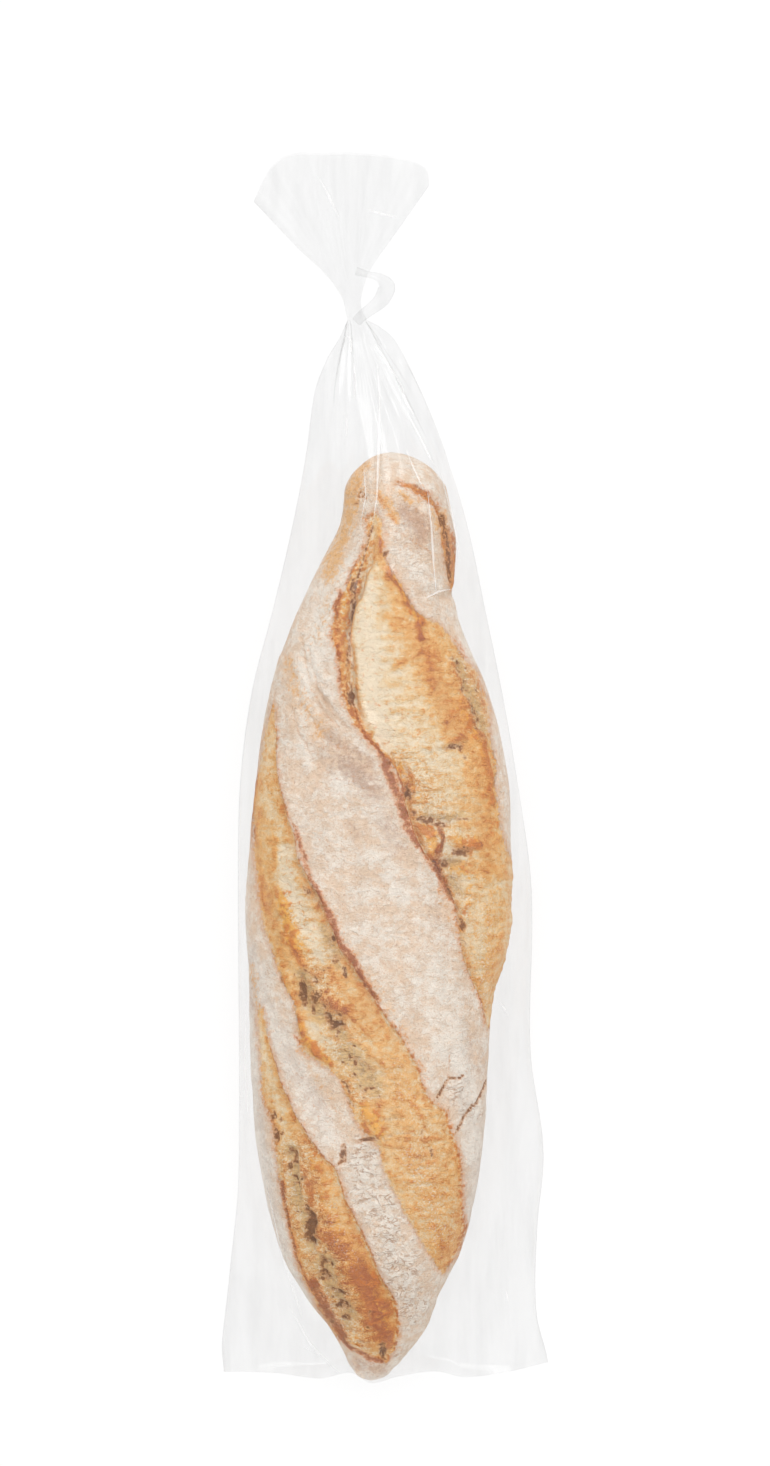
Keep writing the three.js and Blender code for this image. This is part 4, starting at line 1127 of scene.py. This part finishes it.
CREAM = tint(252, 233, 203)
STRAW = tint(244, 211, 162)
GOLD = tint(243, 184, 108)
AMBER = tint(222, 140, 62)
BROWN = tint(188, 106, 58)
GLOW_GOLD = tint(255, 186, 78)
EDGE_TAN = tint(224, 160, 106)
EDGE_RED = tint(230, 138, 54)
EDGE_DARK = tint(172, 84, 20)
# painted shade of pits, gaps and cracks, tan to dark brown; the middle brown also colours burnt specks
# on the rims
PIT_SHADE_TAN = tint(214, 160, 100)
CHAR_AND_PIT_SHADE_BROWN = tint(160, 98, 40)
PIT_SHADE_DARK = tint(126, 72, 18)
OPEN_CRUMB = tint(238, 202, 142)
OPEN_SHADE = tint(190, 140, 76)
SKIN_PEACH = tint(241, 212, 184)
SKIN_TAN = tint(226, 194, 164)
SKIN_MAUVE = tint(192, 148, 120)
# greyish white skin, partly painted glare of the film
SKIN_GREY_AND_GLARE = tint(228, 215, 203)
SCALE_TAN = tint(196, 150, 114)
FRECKLE = tint(208, 168, 136)
FLOUR_WHITE = tint(254, 244, 231)


def crust_grains(n):
    """The noises that the crust's colours and relief share, each from 0 to 1."""
    def grain(size, detail, rough=0.55, low=0.3, high=0.7, **more):
        return n.remap(n.grain(size, detail, rough, **more), low, high)

    return SimpleNamespace(
        fine=grain(0.42, 2, 0.6, low=0.32, high=0.68),
        mottle=grain(1.7, 4, 0.65),
        soft=grain(3.6, 3, 0.5),
        broad=grain(9, 3),
        pleat=grain(1.0, 3, 0.6, stretch=(3.2, 1, 1.6), distort=0.7),
        fibre=grain(0.6, 2, low=0.36, high=0.64, stretch=(1.9, 1, 1), distort=1.8),
        wrinkle=grain(2.6, 3, 0.6, stretch=(1.5, 1, 1), distort=1.2),
        flakes=n.grain(1.9, 2, 0.5, stretch=(3.2, 1, 2), distort=0.5),
        scales=n.grain(4.4, 3, 0.6, stretch=(1.4, 0.8, 1.0), distort=0.8),
        thread=n.cracks(n.grain(4.2, 3, 0.6, stretch=(1.3, 1, 1), distort=1.6), 0.022),
    )


def torn_colour(n, g, flaked):
    """Torn crumb: paler in its folds, browner where it stood up to the heat, flaked across, with
    painted shade along the flakes' edges.
    """
    plus, times, about = n.plus, n.times, n.about
    wisp = times(n.remap(g.fibre, 0.66, 0.95), n.remap(g.broad, 0.2, 0.7, 0.35, 1.0))
    grit = n.remap(n.mask("rough"), 0.0, 1.0, 0.14, 0.70)
    shade = plus(
        n.mask("toast_and_shade"), times(n.mask("crest"), 0.26), times(n.mask("face"), about(g.mottle, 0.7)),
        times(about(g.mottle, 0.7), grit), about(g.soft, 0.2), times(about(g.fine, 0.9), grit),
        # painted shade along the flakes' edges, under each flake's lip
        times(n.remap(g.pleat, 0.74, 0.92), grit, 0.16), times(n.cracks(g.flakes, 0.05), flaked, 0.26),
        times(wisp, grit, -0.5),
    )
    crumb = n.ramp(shade, [(0.0, CREAM), (0.26, STRAW), (0.52, GOLD), (0.78, AMBER), (1.0, BROWN)])

    glow = plus(n.mask("glow"), about(g.mottle, 0.9), about(g.soft, 0.5), about(g.fine, 0.3))
    bright = n.blend(n.remap(g.soft, 0.45, 0.8), GLOW_GOLD, EDGE_RED)
    crumb = n.blend(times(n.remap(glow, 0.25, 0.95), 0.85), crumb, bright)

    ashen = plus(n.mask("ash"), about(g.mottle, 0.6), about(g.fine, 0.3))
    # open crumb: a lit copy and a copy in painted shade, mixed by noise
    lit = plus(g.mottle, about(g.pleat, 0.7), about(g.fine, 0.4))
    open_crumb = n.blend(n.remap(lit, 0.15, 0.75), OPEN_SHADE, OPEN_CRUMB)
    return n.blend(times(n.remap(ashen, 0.3, 0.9), 0.8), crumb, open_crumb)


def skin_colour(n, g, scaly):
    """Skin: beige, whiter where the flour lies thick, greyer down the flank, partly as painted glare of
    the film over it.
    """
    plus, times, about = n.plus, n.times, n.about
    powder = plus(
        n.mask("flour"), about(g.mottle, 1.0), about(g.fine, 1.2), about(g.fibre, 0.9),
        about(g.soft, 1.2), about(g.wrinkle, 0.8), about(g.broad, 1.3), times(n.mask("crest"), 0.6),
    )
    skin = n.blend(g.broad, SKIN_PEACH, SKIN_TAN)
    # greyish white, partly painted glare of the film
    grey_and_glare = n.remap(plus(n.mask("grey_and_glare"), about(g.mottle, 0.4)), 0.1, 0.9)
    skin = n.blend(times(grey_and_glare, 0.8), skin, SKIN_GREY_AND_GLARE)
    skin = n.blend(times(n.remap(powder, -0.7, 1.7), 0.92), skin, FLOUR_WHITE)
    skin = n.blend(times(g.thread, n.remap(g.broad, 0.3, 0.8), 0.6), skin, FLOUR_WHITE)

    mauve = n.remap(plus(n.mask("mauve"), about(g.mottle, 0.7), about(g.fine, 0.5)), 0.2, 1.0)
    skin = n.blend(times(mauve, 0.75), skin, SKIN_MAUVE)
    flush = n.remap(plus(n.mask("blush"), about(g.mottle, 0.7), about(g.fine, 0.4)), 0.2, 1.0)
    skin = n.blend(times(flush, 0.85), skin, GOLD)
    beside_slash = n.remap(n.mask("torn"), -3.4, -0.2, 0.0, 0.75)
    near_edge = plus(beside_slash, about(g.mottle, 0.5), about(g.fine, 0.15))
    skin = n.blend(times(n.remap(near_edge, 0.35, 1.0), 0.65), skin, EDGE_TAN)

    fleck = n.remap(n.grain(0.6, 2, 0.5, stretch=(1.5, 1, 1)), 0.58, 0.70)
    bare = times(n.remap(powder, 1.2, 0.3, 0.2, 0.75), n.remap(grey_and_glare, 0, 1, 1, 0.3))
    skin = n.blend(times(fleck, bare), skin, FRECKLE)
    skin = n.blend(times(scaly, n.remap(g.mottle, 0.3, 0.7), 0.7), skin, FLOUR_WHITE)
    scale_edge = times(n.cracks(g.scales, 0.045), n.remap(g.soft, 0.2, 0.8, 0.2, 0.85))
    return n.blend(times(scaly, scale_edge), skin, SCALE_TAN)


def rims_and_hole_shade(n, g, colour):
    """The ragged red-brown rims, their burnt specks, and the painted shade of holes, gaps and cracks.
    """
    plus, times, about = n.plus, n.times, n.about
    rim = times(n.mask("rim"), n.remap(g.soft, 0.2, 0.8, 0.75, 1.15))
    rim = plus(rim, about(g.mottle, 0.5), about(g.fibre, 0.25), about(g.fine, 0.3))
    edge = n.ramp(rim, [(0.3, EDGE_TAN), (0.6, EDGE_RED), (0.95, EDGE_DARK)])
    colour = n.blend(times(n.remap(rim, 0.1, 0.95), 0.88), colour, edge)
    char = times(n.remap(n.mask("rim"), 0.35, 0.9), n.remap(n.grain(1.3, 2, 0.5), 0.54, 0.64))
    colour = n.blend(times(char, 0.7), colour, CHAR_AND_PIT_SHADE_BROWN)

    # painted shade of holes, gaps and cracks: a warm tan ring at their edges, then tan to dark brown
    # inside
    patchy = times(n.remap(g.mottle, 0.15, 0.85, 0.5, 1.4), n.remap(g.fine, 0, 1, 0.85, 1.15))
    shade_amount = times(n.mask("hole_shade"), patchy)
    colour = n.blend(times(n.remap(shade_amount, 0.1, 0.4), 0.5), colour, EDGE_TAN)
    pit_shade = n.ramp(shade_amount, [(0.3, PIT_SHADE_TAN), (0.6, CHAR_AND_PIT_SHADE_BROWN), (1.0, PIT_SHADE_DARK)])
    return n.blend(times(n.remap(shade_amount, 0.25, 0.7), 0.85), colour, pit_shade)


def crust_material():
    """Torn crumb and floury skin, with rims, holes and loose flour over both."""
    n = Nodes("crust")
    plus, times, about = n.plus, n.times, n.about
    g = crust_grains(n)
    rough = n.mask("rough")
    torn = n.remap(plus(n.mask("torn"), about(g.mottle, 1.0), about(g.fine, 0.4)), -0.5, 0.5)
    flaked = times(n.remap(g.soft, 0.35, 0.7), n.remap(rough, 0.0, 0.9, 0.45, 1.0))
    scaly = n.remap(plus(n.mask("scaly"), about(g.soft, 0.5)), 0.15, 0.8)

    colour = n.blend(torn, skin_colour(n, g, scaly), torn_colour(n, g, flaked))
    colour = rims_and_hole_shade(n, g, colour)
    speck = n.remap(n.grain(0.75, 2, 0.5), 0.56, 0.68)
    dust = times(speck, n.remap(plus(n.mask("dust"), 0.1), 0.0, 1.0))
    colour = n.blend(times(dust, 0.9), colour, FLOUR_WHITE)

    height = plus(
        times(g.fine, 0.34), times(g.mottle, 0.6), times(g.fibre, 0.2), times(g.wrinkle, 1.4),
        times(g.thread, 0.25), times(g.pleat, torn, rough, 0.8),
        times(n.remap(g.flakes, 0.46, 0.54), torn, flaked, 1.4),
        times(n.remap(g.scales, 0.45, 0.55), scaly, 1.3), times(n.mask("glow"), g.soft, torn, 3.0),
    )
    n.surface(
        Base_Color=colour, Roughness=n.remap(g.fine, 0, 1, 0.62, 0.82), Specular_IOR_Level=0.25,
        Normal=n.bump(height, 0.4, 0.9),
    )
    return n.material


# ---------------------------------------------------------------- the film bag

FILM_ROW_PITCH = 2.0
FILM_COLUMNS_TOP = 150
FILM_COLUMNS_UNDER = 60
FILM_EDGE = 0.12
SEAM_FADE = 30.0
SWEEP_STEPS = 721
FILM_LEAST_Z = 0.02
PLEATS = [  # share of the section's radius, how many round the bag, phase, and where they begin
    (0.10, 9, 0.0, 84.0), (0.05, 17, 1.1, 84.0), (0.06, 29, 0.4, 118.0),
]
FILM_WAVES = [  # height, size of a wave along each axis, seed
    (0.22, (4, 60, 40), 91), (0.14, (2.4, 26, 40), 92), (0.25, (14, 18, 40), 93),
]
NECK_HALF_WIDTH = [(WAIST_Y, NECK_RADIUS), (169.5, 3.1), (175, 3.5), (179, 4.3), (186, 7)]
NECK_MIDDLE_X = [(WAIST_Y, -10.3), (169.5, -11.7), (175, -12.4), (179, -13.1), (186, -12.6)]
NECK_TOP_Y = 186.0
FAN_X, FAN_Y, FAN_FROM, FAN_LEFT, FAN_RIGHT = -13.7, 172.4, 6.0, -43.5, 35.2
MOUTH_RADIUS = [(-43.5, 50.5), (-25, 57.9), (-10, 55.2), (5, 54.3), (20, 55.9), (31, 56.4), (35.2, 52)]
MOUTH_HALF_HEIGHT = 6.0
MOUTH_WAVE = 1.4  # how far the mouth's edge rises and dips
MOUTH_LEAST_Z = 0.3
NECK_SHARE = 2.2  # how fast the neck is passed, against the way to the mouth's edge
FAN_OPENS = (0.1, 0.45)  # where the neck starts to open, and where the fan is flat
FLARE_ROWS = 46


def hull_reach(angle, px, pz):
    """How far the hull of a unit circle and one point outside it reaches at each angle."""
    distance = math.hypot(px, pz)
    if distance <= 1:
        return np.ones_like(angle)
    spread = math.acos(1 / distance)
    away = np.abs((angle - math.atan2(pz, px) + np.pi) % (2 * np.pi) - np.pi)
    return 1 / np.cos(np.clip(spread - away, 0, spread))


def pleats(angle, y):
    """The gathers that run down from the neck, as a share of the section's radius."""
    return sum(
        share * smooth(y, start, WAIST_Y) * np.cos(count * angle + phase)
        for share, count, phase, start in PLEATS
    )


def film_ring(y, loaf_relief):
    """One ring of film round the bag at y, from the right crease over the top."""
    middle, line_z = float(through(MIDDLE_X, y)), float(through(WAIST_LINE_Z, y))
    across = float(through(HALF_WIDTH, y)) * LOAF_WIDTH / 2
    rise = float(through(TOP, y)) * LOAF_HEIGHT - line_z

    def crease(along_x, along_z):
        """A side crease's place, as a share of the section's half width and rise."""
        return (
            (float(through(along_x, y)) - middle) / across,
            (float(through(along_z, y)) - line_z) / rise,
        )

    right = crease(RIGHT_CREASE_X, RIGHT_CREASE_Z)
    left = crease(LEFT_CREASE_X, LEFT_CREASE_Z)
    start = math.atan2(right[1], right[0])
    over = math.atan2(left[1], left[0]) % (2 * np.pi)

    def sweep(begin, end):
        angle = np.linspace(begin, end, SWEEP_STEPS)
        reach = np.maximum(hull_reach(angle, *right), hull_reach(angle, *left))
        reach = reach * (1 + pleats(angle, y))
        x = middle + across * reach * np.cos(angle)
        z = line_z + rise * reach * np.sin(angle)
        return np.stack([x, z], 1)

    upper = spaced(sweep(start, over), FILM_COLUMNS_TOP)[:-1]
    under = spaced(sweep(over, start + 2 * np.pi), FILM_COLUMNS_UNDER)[:-1]
    ring = np.concatenate([upper, under])
    on_top = np.arange(len(ring)) < len(upper)
    edge = np.where(on_top, FILM_EDGE, -FILM_EDGE)
    edge[[0, len(upper)]] = 0
    x, z = ring[:, 0], ring[:, 1] + edge
    lift = loaf_relief(x, y) * on_top
    steep = np.clip((z - line_z) / rise, 0, 1)
    z = z + lift * np.sqrt(steep)
    drawn = (1 - smooth(y, SEAM_Y, SEAM_Y + SEAM_FADE)) * through(SEAM_WAVE, x)
    return np.stack([x, y + drawn, np.maximum(z, FILM_LEAST_Z)], 1)


def flare_ring(w):
    """One ring of the neck and the flared mouth, w from 0 at the waist to 1 at its edge."""
    neck_y = WAIST_Y + (NECK_TOP_Y - WAIST_Y) * min(1, NECK_SHARE * w)
    opened = float(smooth(w, *FAN_OPENS))
    half_height = NECK_RADIUS + (MOUTH_HALF_HEIGHT - NECK_RADIUS) * w

    def place(share, side):
        u = (1 - opened) * np.cos(np.pi * share) + opened * (1 - 2 * share)
        u = u * side
        degrees = FAN_LEFT + (FAN_RIGHT - FAN_LEFT) * (u + 1) / 2
        turn = np.radians(degrees)
        far = FAN_FROM + (through(MOUTH_RADIUS, degrees) - FAN_FROM) * w
        fan_x, fan_y = FAN_X + far * np.sin(turn), FAN_Y + far * np.cos(turn)
        neck_x = float(through(NECK_MIDDLE_X, neck_y)) + u * float(through(NECK_HALF_WIDTH, neck_y))
        x = neck_x + (fan_x - neck_x) * opened
        y = neck_y + (fan_y - neck_y) * opened
        wave = MOUTH_WAVE * w * np.sin(3 * np.pi * u)
        crimp = 0.09 * np.cos(23 * u + 2) + 0.07 * np.cos(41 * u * side + 1)
        round_off = np.sqrt(np.maximum(1 - u * u, 0)) * (1 + crimp * smooth(w, 0, 0.2))
        z = NECK_Z + wave + side * (half_height * round_off + FILM_EDGE)
        return np.stack([x, y, np.maximum(z, MOUTH_LEAST_Z)], 1)

    top = place(np.arange(FILM_COLUMNS_TOP) / FILM_COLUMNS_TOP, 1)
    under = place(np.arange(FILM_COLUMNS_UNDER) / FILM_COLUMNS_UNDER, -1)
    return np.concatenate([top, under])


FILM_GREY = tint(120, 120, 119)
# painted highlight along the film's creases
CREASE_HIGHLIGHT_WHITE = tint(248, 247, 245)
CREASE_HIGHLIGHT_ALPHA = 0.42
CREASE_LIFT = 0.12  # of a crease's strip over the film
CREASE_PITCH = 1.2
ABOVE_ALL = 200  # mm, from where the film under a crease is looked for


def film_material():
    """Clear film: a faint streaky haze, and a gloss that grows towards its edges."""
    n = Nodes("clear_film")
    haze = n.remap(n.grain(7, 3, 0.6, stretch=(0.8, 5, 2)), 0.35, 0.75, 0.055, 0.095)
    body = n.surface(Base_Color=FILM_GREY, Roughness=0.3, Specular_IOR_Level=0.2, Alpha=haze)
    gloss = n.add("ShaderNodeBsdfGlossy")
    gloss.inputs["Roughness"].default_value = 0.1
    gloss.inputs["Color"].default_value = (1, 1, 1, 1)
    facing = n.add("ShaderNodeLayerWeight")
    facing.inputs["Blend"].default_value = 0.5
    mixer = n.add("ShaderNodeMixShader")
    n.link(n.remap(facing.outputs["Facing"], 0.35, 1.0, 0.035, 0.26), mixer.inputs[0])
    n.link(body.outputs[0], mixer.inputs[1])
    n.link(gloss.outputs[0], mixer.inputs[2])
    n.link(mixer.outputs[0], n.out.inputs["Surface"])
    return n.material


def crease_highlight_material():
    """Half-clear white: painted highlight where the film is sharply bent."""
    n = Nodes("film_crease_highlight")
    n.surface(Base_Color=CREASE_HIGHLIGHT_WHITE, Roughness=0.25, Alpha=CREASE_HIGHLIGHT_ALPHA)
    return n.material


# White strips of painted highlight along creases in the film: half width in mm and a run of (x, y) in
# the photo's pixels
CREASE_HIGHLIGHTS = [
    (0.5, [(377, 366), (380, 402), (379, 440), (377, 500), (373, 526)]),
    (0.3, [(374, 345), (384, 360), (395, 378)]),
    (0.45, [(393, 372), (401, 388), (405, 402), (414, 418)]),
    (0.3, [(407, 415), (420, 440), (433, 467)]),
    (0.3, [(406, 452), (413, 470), (423, 492)]),
    (0.35, [(427, 492), (431, 530), (433, 565), (436, 598)]),
    (0.5, [(348, 336), (352, 345), (350, 356)]),
    (0.2, [(354, 364), (355, 385), (354, 404)]),
    (0.2, [(346, 415), (347, 428), (346, 440)]),
    (0.25, [(317, 176), (328, 196), (341, 224)]),
    (0.35, [(369, 212), (382, 216), (397, 219)]),
    (0.25, [(364, 470), (366, 498), (360, 530)]),
    (0.35, [(425, 600), (438, 593), (452, 590)]),
    (0.25, [(292, 1306), (310, 1340), (340, 1371)]),
    (0.2, [(340, 1371), (322, 1352), (300, 1342)]),
    (0.3, [(247, 1000), (246, 1060), (250, 1120)]),
    (0.25, [(498, 1000), (503, 1005), (506, 1013)]),
    (0.25, [(506, 1290), (508, 1300)]),
    (0.2, [(440, 475), (452, 520), (460, 560)]),
    (0.2, [(268, 1180), (283, 1250), (305, 1320)]),
]
LOOP = [  # x, y, half width, half height
    (-10.7, 183.5, 1.5, 1.6), (-6.3, 182.2, 1.2, 1.7), (-1.9, 180.8, 1.7, 2.0), (0.7, 177.6, 3.2, 2.4),
    (-1.1, 173.2, 2.8, 2.4), (-4.8, 169.8, 2.3, 2.2), (-8.5, 166.8, 2.0, 2.0), (-10.7, 164.5, 1.8, 1.8),
]
LOOP_ROWS = 60
LOOP_SIDES = 28
LOOP_FLATTEN = 0.8
CRUMPLE_MOST = 1.06  # how far a crumple may widen the loop


def loop_rings():
    """The bight of film slipped through the knot: a crumpled flat tube along LOOP."""
    stops = np.array(LOOP)
    at = np.linspace(0, len(LOOP) - 1, LOOP_ROWS + 1)
    stations = np.arange(len(LOOP))
    x, y, half, tall = (through(np.stack([stations, column], 1), at) for column in stops.T)
    run = np.stack([np.gradient(x), np.gradient(y)], 1)
    run /= np.linalg.norm(run, axis=1, keepdims=True)
    side_x, side_y = run[:, 1], -run[:, 0]
    angle = 2 * np.pi * np.arange(LOOP_SIDES)[None] / LOOP_SIDES
    sway = at[:, None]
    crumple = 1 + 0.1 * np.cos(5 * angle + 2.2 * np.sin(sway)) + 0.05 * np.cos(9 * angle - sway)
    out = half[:, None] * np.cos(angle) * np.minimum(crumple, CRUMPLE_MOST)
    up = LOOP_FLATTEN * tall[:, None] * np.sin(angle) * crumple
    loop_x = x[:, None] + side_x[:, None] * out
    loop_y = y[:, None] + side_y[:, None] * out
    return np.stack([loop_x, loop_y, NECK_Z + up], 2)


def crease_highlight_strips(surface):
    """Narrow tapered strips of painted highlight, laid on the film along the listed creases."""
    corners, faces = [], []
    for half, run in CREASE_HIGHLIGHTS:
        route = np.array(seen(run))
        step = np.hypot(*np.diff(route, axis=0).T)
        length = np.concatenate([[0], np.cumsum(step)])
        count = max(int(length[-1] / CREASE_PITCH), 4)
        goal = np.linspace(0, length[-1], count + 1)
        x, y = np.interp(goal, length, route[:, 0]), np.interp(goal, length, route[:, 1])
        across = np.stack([-np.gradient(y), np.gradient(x)], 1)
        across /= np.linalg.norm(across, axis=1, keepdims=True)
        taper = np.sin(np.pi * np.clip(goal / length[-1], 0.02, 0.98)) ** 0.6
        taper = taper * (0.8 + 0.35 * noise(np.stack([x, y, x * 0], 1), 6, 201))
        first = len(corners)
        for i in range(count + 1):
            for end in (-1, 1):
                px = x[i] + end * across[i, 0] * half * taper[i]
                py = y[i] + end * across[i, 1] * half * taper[i]
                hit = surface.ray_cast(Vector((px, py, ABOVE_ALL)), Vector((0, 0, -1)))[0]
                corners.append((px, py, (hit.z if hit else NECK_Z) + CREASE_LIFT))
        for i in range(count):
            a = first + 2 * i
            faces.append((a, a + 1, a + 3, a + 2))
    return corners, faces


# ---------------------------------------------------------------- the film held up by the crust

RELIEF_STEP = 2.0
RELIEF_X = np.arange(-66, 66 + RELIEF_STEP, RELIEF_STEP)
RELIEF_Y = np.arange(-232, 122 + RELIEF_STEP, RELIEF_STEP)
RELIEF_Z = 30.0
RELIEF_MOST = 3.0


def neighbours(grid):
    """A grid shifted by one place each way along both axes."""
    return [np.roll(grid, shift, axis) for axis in (1, 0) for shift in (1, -1)]


def film_over_relief():
    """How high the film is held over the smooth loaf, on a grid of places."""
    gx, gy = np.meshgrid(RELIEF_X, RELIEF_Y)
    high = crust(np.stack([gx, gy, np.full_like(gx, RELIEF_Z)], axis=-1), gx)[0]
    for _ in range(2):
        wide = np.maximum(high, np.maximum(np.roll(high, 1, 1), np.roll(high, -1, 1)))
        high = np.maximum(wide, np.maximum(np.roll(wide, 1, 0), np.roll(wide, -1, 0)))
    for _ in range(3):
        high = np.maximum(high, sum(neighbours(high)) / 4)
    inside = smooth(gy, LOAF_TIP_Y - 6, LOAF_TIP_Y + 8) * smooth(gy, LOAF_KNOB_Y + 4, LOAF_KNOB_Y - 10)
    return np.clip(high, 0, RELIEF_MOST) * inside


def film_bag():
    """Rings of film from the seam to the mouth's edge, as a grid of points."""
    held = film_over_relief()

    def relief_over(x, y):
        row = np.clip((y - RELIEF_Y[0]) / RELIEF_STEP, 0, len(RELIEF_Y) - 1.001)
        k = int(row)
        line = held[k] * (1 - row + k) + held[k + 1] * (row - k)
        return np.interp(x, RELIEF_X, line)

    count = int((WAIST_Y - SEAM_Y) / FILM_ROW_PITCH)
    body = [film_ring(float(y), relief_over) for y in np.linspace(SEAM_Y, WAIST_Y, count + 1)[:-1]]
    mouth = [flare_ring(float(w)) for w in np.linspace(0, 1, FLARE_ROWS)]
    grid = np.array(body + mouth)
    over = grid[:, :FILM_COLUMNS_TOP]
    waves = sum(height * noise(over, size, seed) for height, size, seed in FILM_WAVES)
    grid[:, :FILM_COLUMNS_TOP, 2] += smooth(over[..., 2], 3, 14) * waves
    return grid


# ---------------------------------------------------------------- pieces

def build_loaf():
    """The smooth loaf with its crust's relief, closed by a point at each end."""
    base, side = loaf_grid()
    normals, sideways = grid_frame(base)
    height, shift, masks = crust(base, side)
    from_ends = np.minimum(base[..., 1] - LOAF_TIP_Y, LOAF_KNOB_Y - base[..., 1])
    fade = smooth(from_ends, 0, 5) * smooth(base[..., 2], 1.5, 8)
    grid = base + (height * fade)[..., None] * normals + (shift * fade)[..., None] * sideways
    grid[..., 2] = np.maximum(grid[..., 2], REST_Z)

    rows, columns = grid.shape[:2]
    tip_pole = grid[0].mean(axis=0) - np.array([0, POLE_OUT, 0])
    knob_pole = grid[-1].mean(axis=0) + np.array([0, POLE_OUT, 0])
    points = np.concatenate([grid.reshape(-1, 3), tip_pole[None], knob_pole[None]])
    faces = grid_faces(rows, columns).tolist()
    last = (rows - 1) * columns
    for c in range(columns):
        after = (c + 1) % columns
        faces.append([rows * columns, c, after])
        faces.append([rows * columns + 1, last + after, last + c])
    masks = {key: np.concatenate([v.ravel(), v[0, :1], v[-1, :1]]) for key, v in masks.items()}
    finish_piece(make_mesh("baguette", points, faces, masks), crust_material())


def build_film():
    """The bag, the loop slipped through its knot, and strips of painted highlight along its creases."""
    clear = film_material()
    bag = film_bag()
    bag_faces = grid_faces(*bag.shape[:2])
    finish_piece(make_mesh("film_bag", bag, bag_faces), clear)
    loop = loop_rings()
    finish_piece(make_mesh("film_loop", loop, grid_faces(*loop.shape[:2])), clear)
    surface = BVHTree.FromPolygons([Vector(p) for p in bag.reshape(-1, 3)], bag_faces.tolist())
    # white strips of painted highlight along the film's creases
    highlight_strips = make_mesh("film_crease_highlights", *crease_highlight_strips(surface))
    finish_piece(highlight_strips, crease_highlight_material())


build_loaf()
build_film()

# ---------------------------------------------------------------- floor, light and camera

CAMERA_HEIGHT = 3000.0
SENSOR = 36.0
FLOOR_HALF = 4000.0
FLOOR_Z = -0.05
FLOOR_GREY = (0.16, 0.16, 0.16, 1)
FLOOR_GLOW = 0.83  # so that the floor comes out as pale as the photo's paper
LIGHT_FROM = (0.12, 0.6, 0.79)  # towards the brightest part of the studio's ceiling
CEILING_DIM, CEILING_BRIGHT = 0.62, 1.4
SOFTBOX_SIZE = (1.2, 1.0)
AIM = (0, 0, 0.02)


def build_floor():
    """A wide pale floor, only for the picture."""
    n = Nodes("pale_floor")
    n.surface(
        Base_Color=FLOOR_GREY, Roughness=0.9, Specular_IOR_Level=0.0,
        Emission_Color=(1, 1, 1, 1), Emission_Strength=FLOOR_GLOW,
    )
    corners = [(-1, -1), (1, -1), (1, 1), (-1, 1)]
    points = [(x * FLOOR_HALF, y * FLOOR_HALF, FLOOR_Z) for x, y in corners]
    floor = make_mesh("floor", points, [(0, 1, 2, 3)], flat=True)
    floor.data.materials.append(n.material)


def studio_world():
    """A pale room, brightest past the bag's knot and dimmer behind its seam."""
    world = bpy.data.worlds.new("studio")
    bpy.context.scene.world = world
    world.use_nodes = True
    tree = world.node_tree
    background = tree.nodes["Background"]
    background.inputs["Color"].default_value = (1, 1, 1, 1)
    place = tree.nodes.new("ShaderNodeTexCoord")
    towards = tree.nodes.new("ShaderNodeVectorMath")
    towards.operation = "DOT_PRODUCT"
    towards.inputs[1].default_value = LIGHT_FROM
    glow = tree.nodes.new("ShaderNodeMapRange")
    glow.interpolation_type = "SMOOTHSTEP"
    set_range(glow, -0.2, 1.0, CEILING_DIM, CEILING_BRIGHT)
    tree.links.new(place.outputs["Generated"], towards.inputs[0])
    tree.links.new(towards.outputs["Value"], glow.inputs["Value"])
    tree.links.new(glow.outputs["Result"], background.inputs["Strength"])


def softbox(name, place, watts):
    """A rectangular lamp in metres, turned towards the loaf."""
    lamp = bpy.data.lights.new(name, "AREA")
    lamp.shape = "RECTANGLE"
    lamp.size, lamp.size_y = SOFTBOX_SIZE
    lamp.energy = watts
    obj = bpy.data.objects.new(name, lamp)
    obj.location = place
    obj.rotation_euler = (Vector(AIM) - Vector(place)).to_track_quat("-Z", "Y").to_euler()
    bpy.context.scene.collection.objects.link(obj)
    return obj


def overhead_camera():
    """A camera that looks straight down and holds the photo's field at the floor."""
    lens = bpy.data.cameras.new("camera")
    camera = bpy.data.objects.new("camera", lens)
    bpy.context.scene.collection.objects.link(camera)
    lens.sensor_width = SENSOR
    lens.lens = SENSOR * CAMERA_HEIGHT / (PHOTO_HEIGHT * MM_PER_PIXEL)
    lens.clip_end = 20
    camera.location = (0, PHOTO_MIDDLE_Y * MM, CAMERA_HEIGHT * MM)
    bpy.context.scene.camera = camera


build_floor()
studio_world()
softbox("key_softbox", (0.1, 1.6, 1.9), 9.0)
fill = softbox("fill_softbox", (-0.3, -1.7, 0.9), 4.0)
fill.visible_glossy = False  # a second glare would show in the film
overhead_camera()
bpy.context.scene.view_settings.view_transform = "Standard"
bpy.context.scene.view_settings.look = "None"
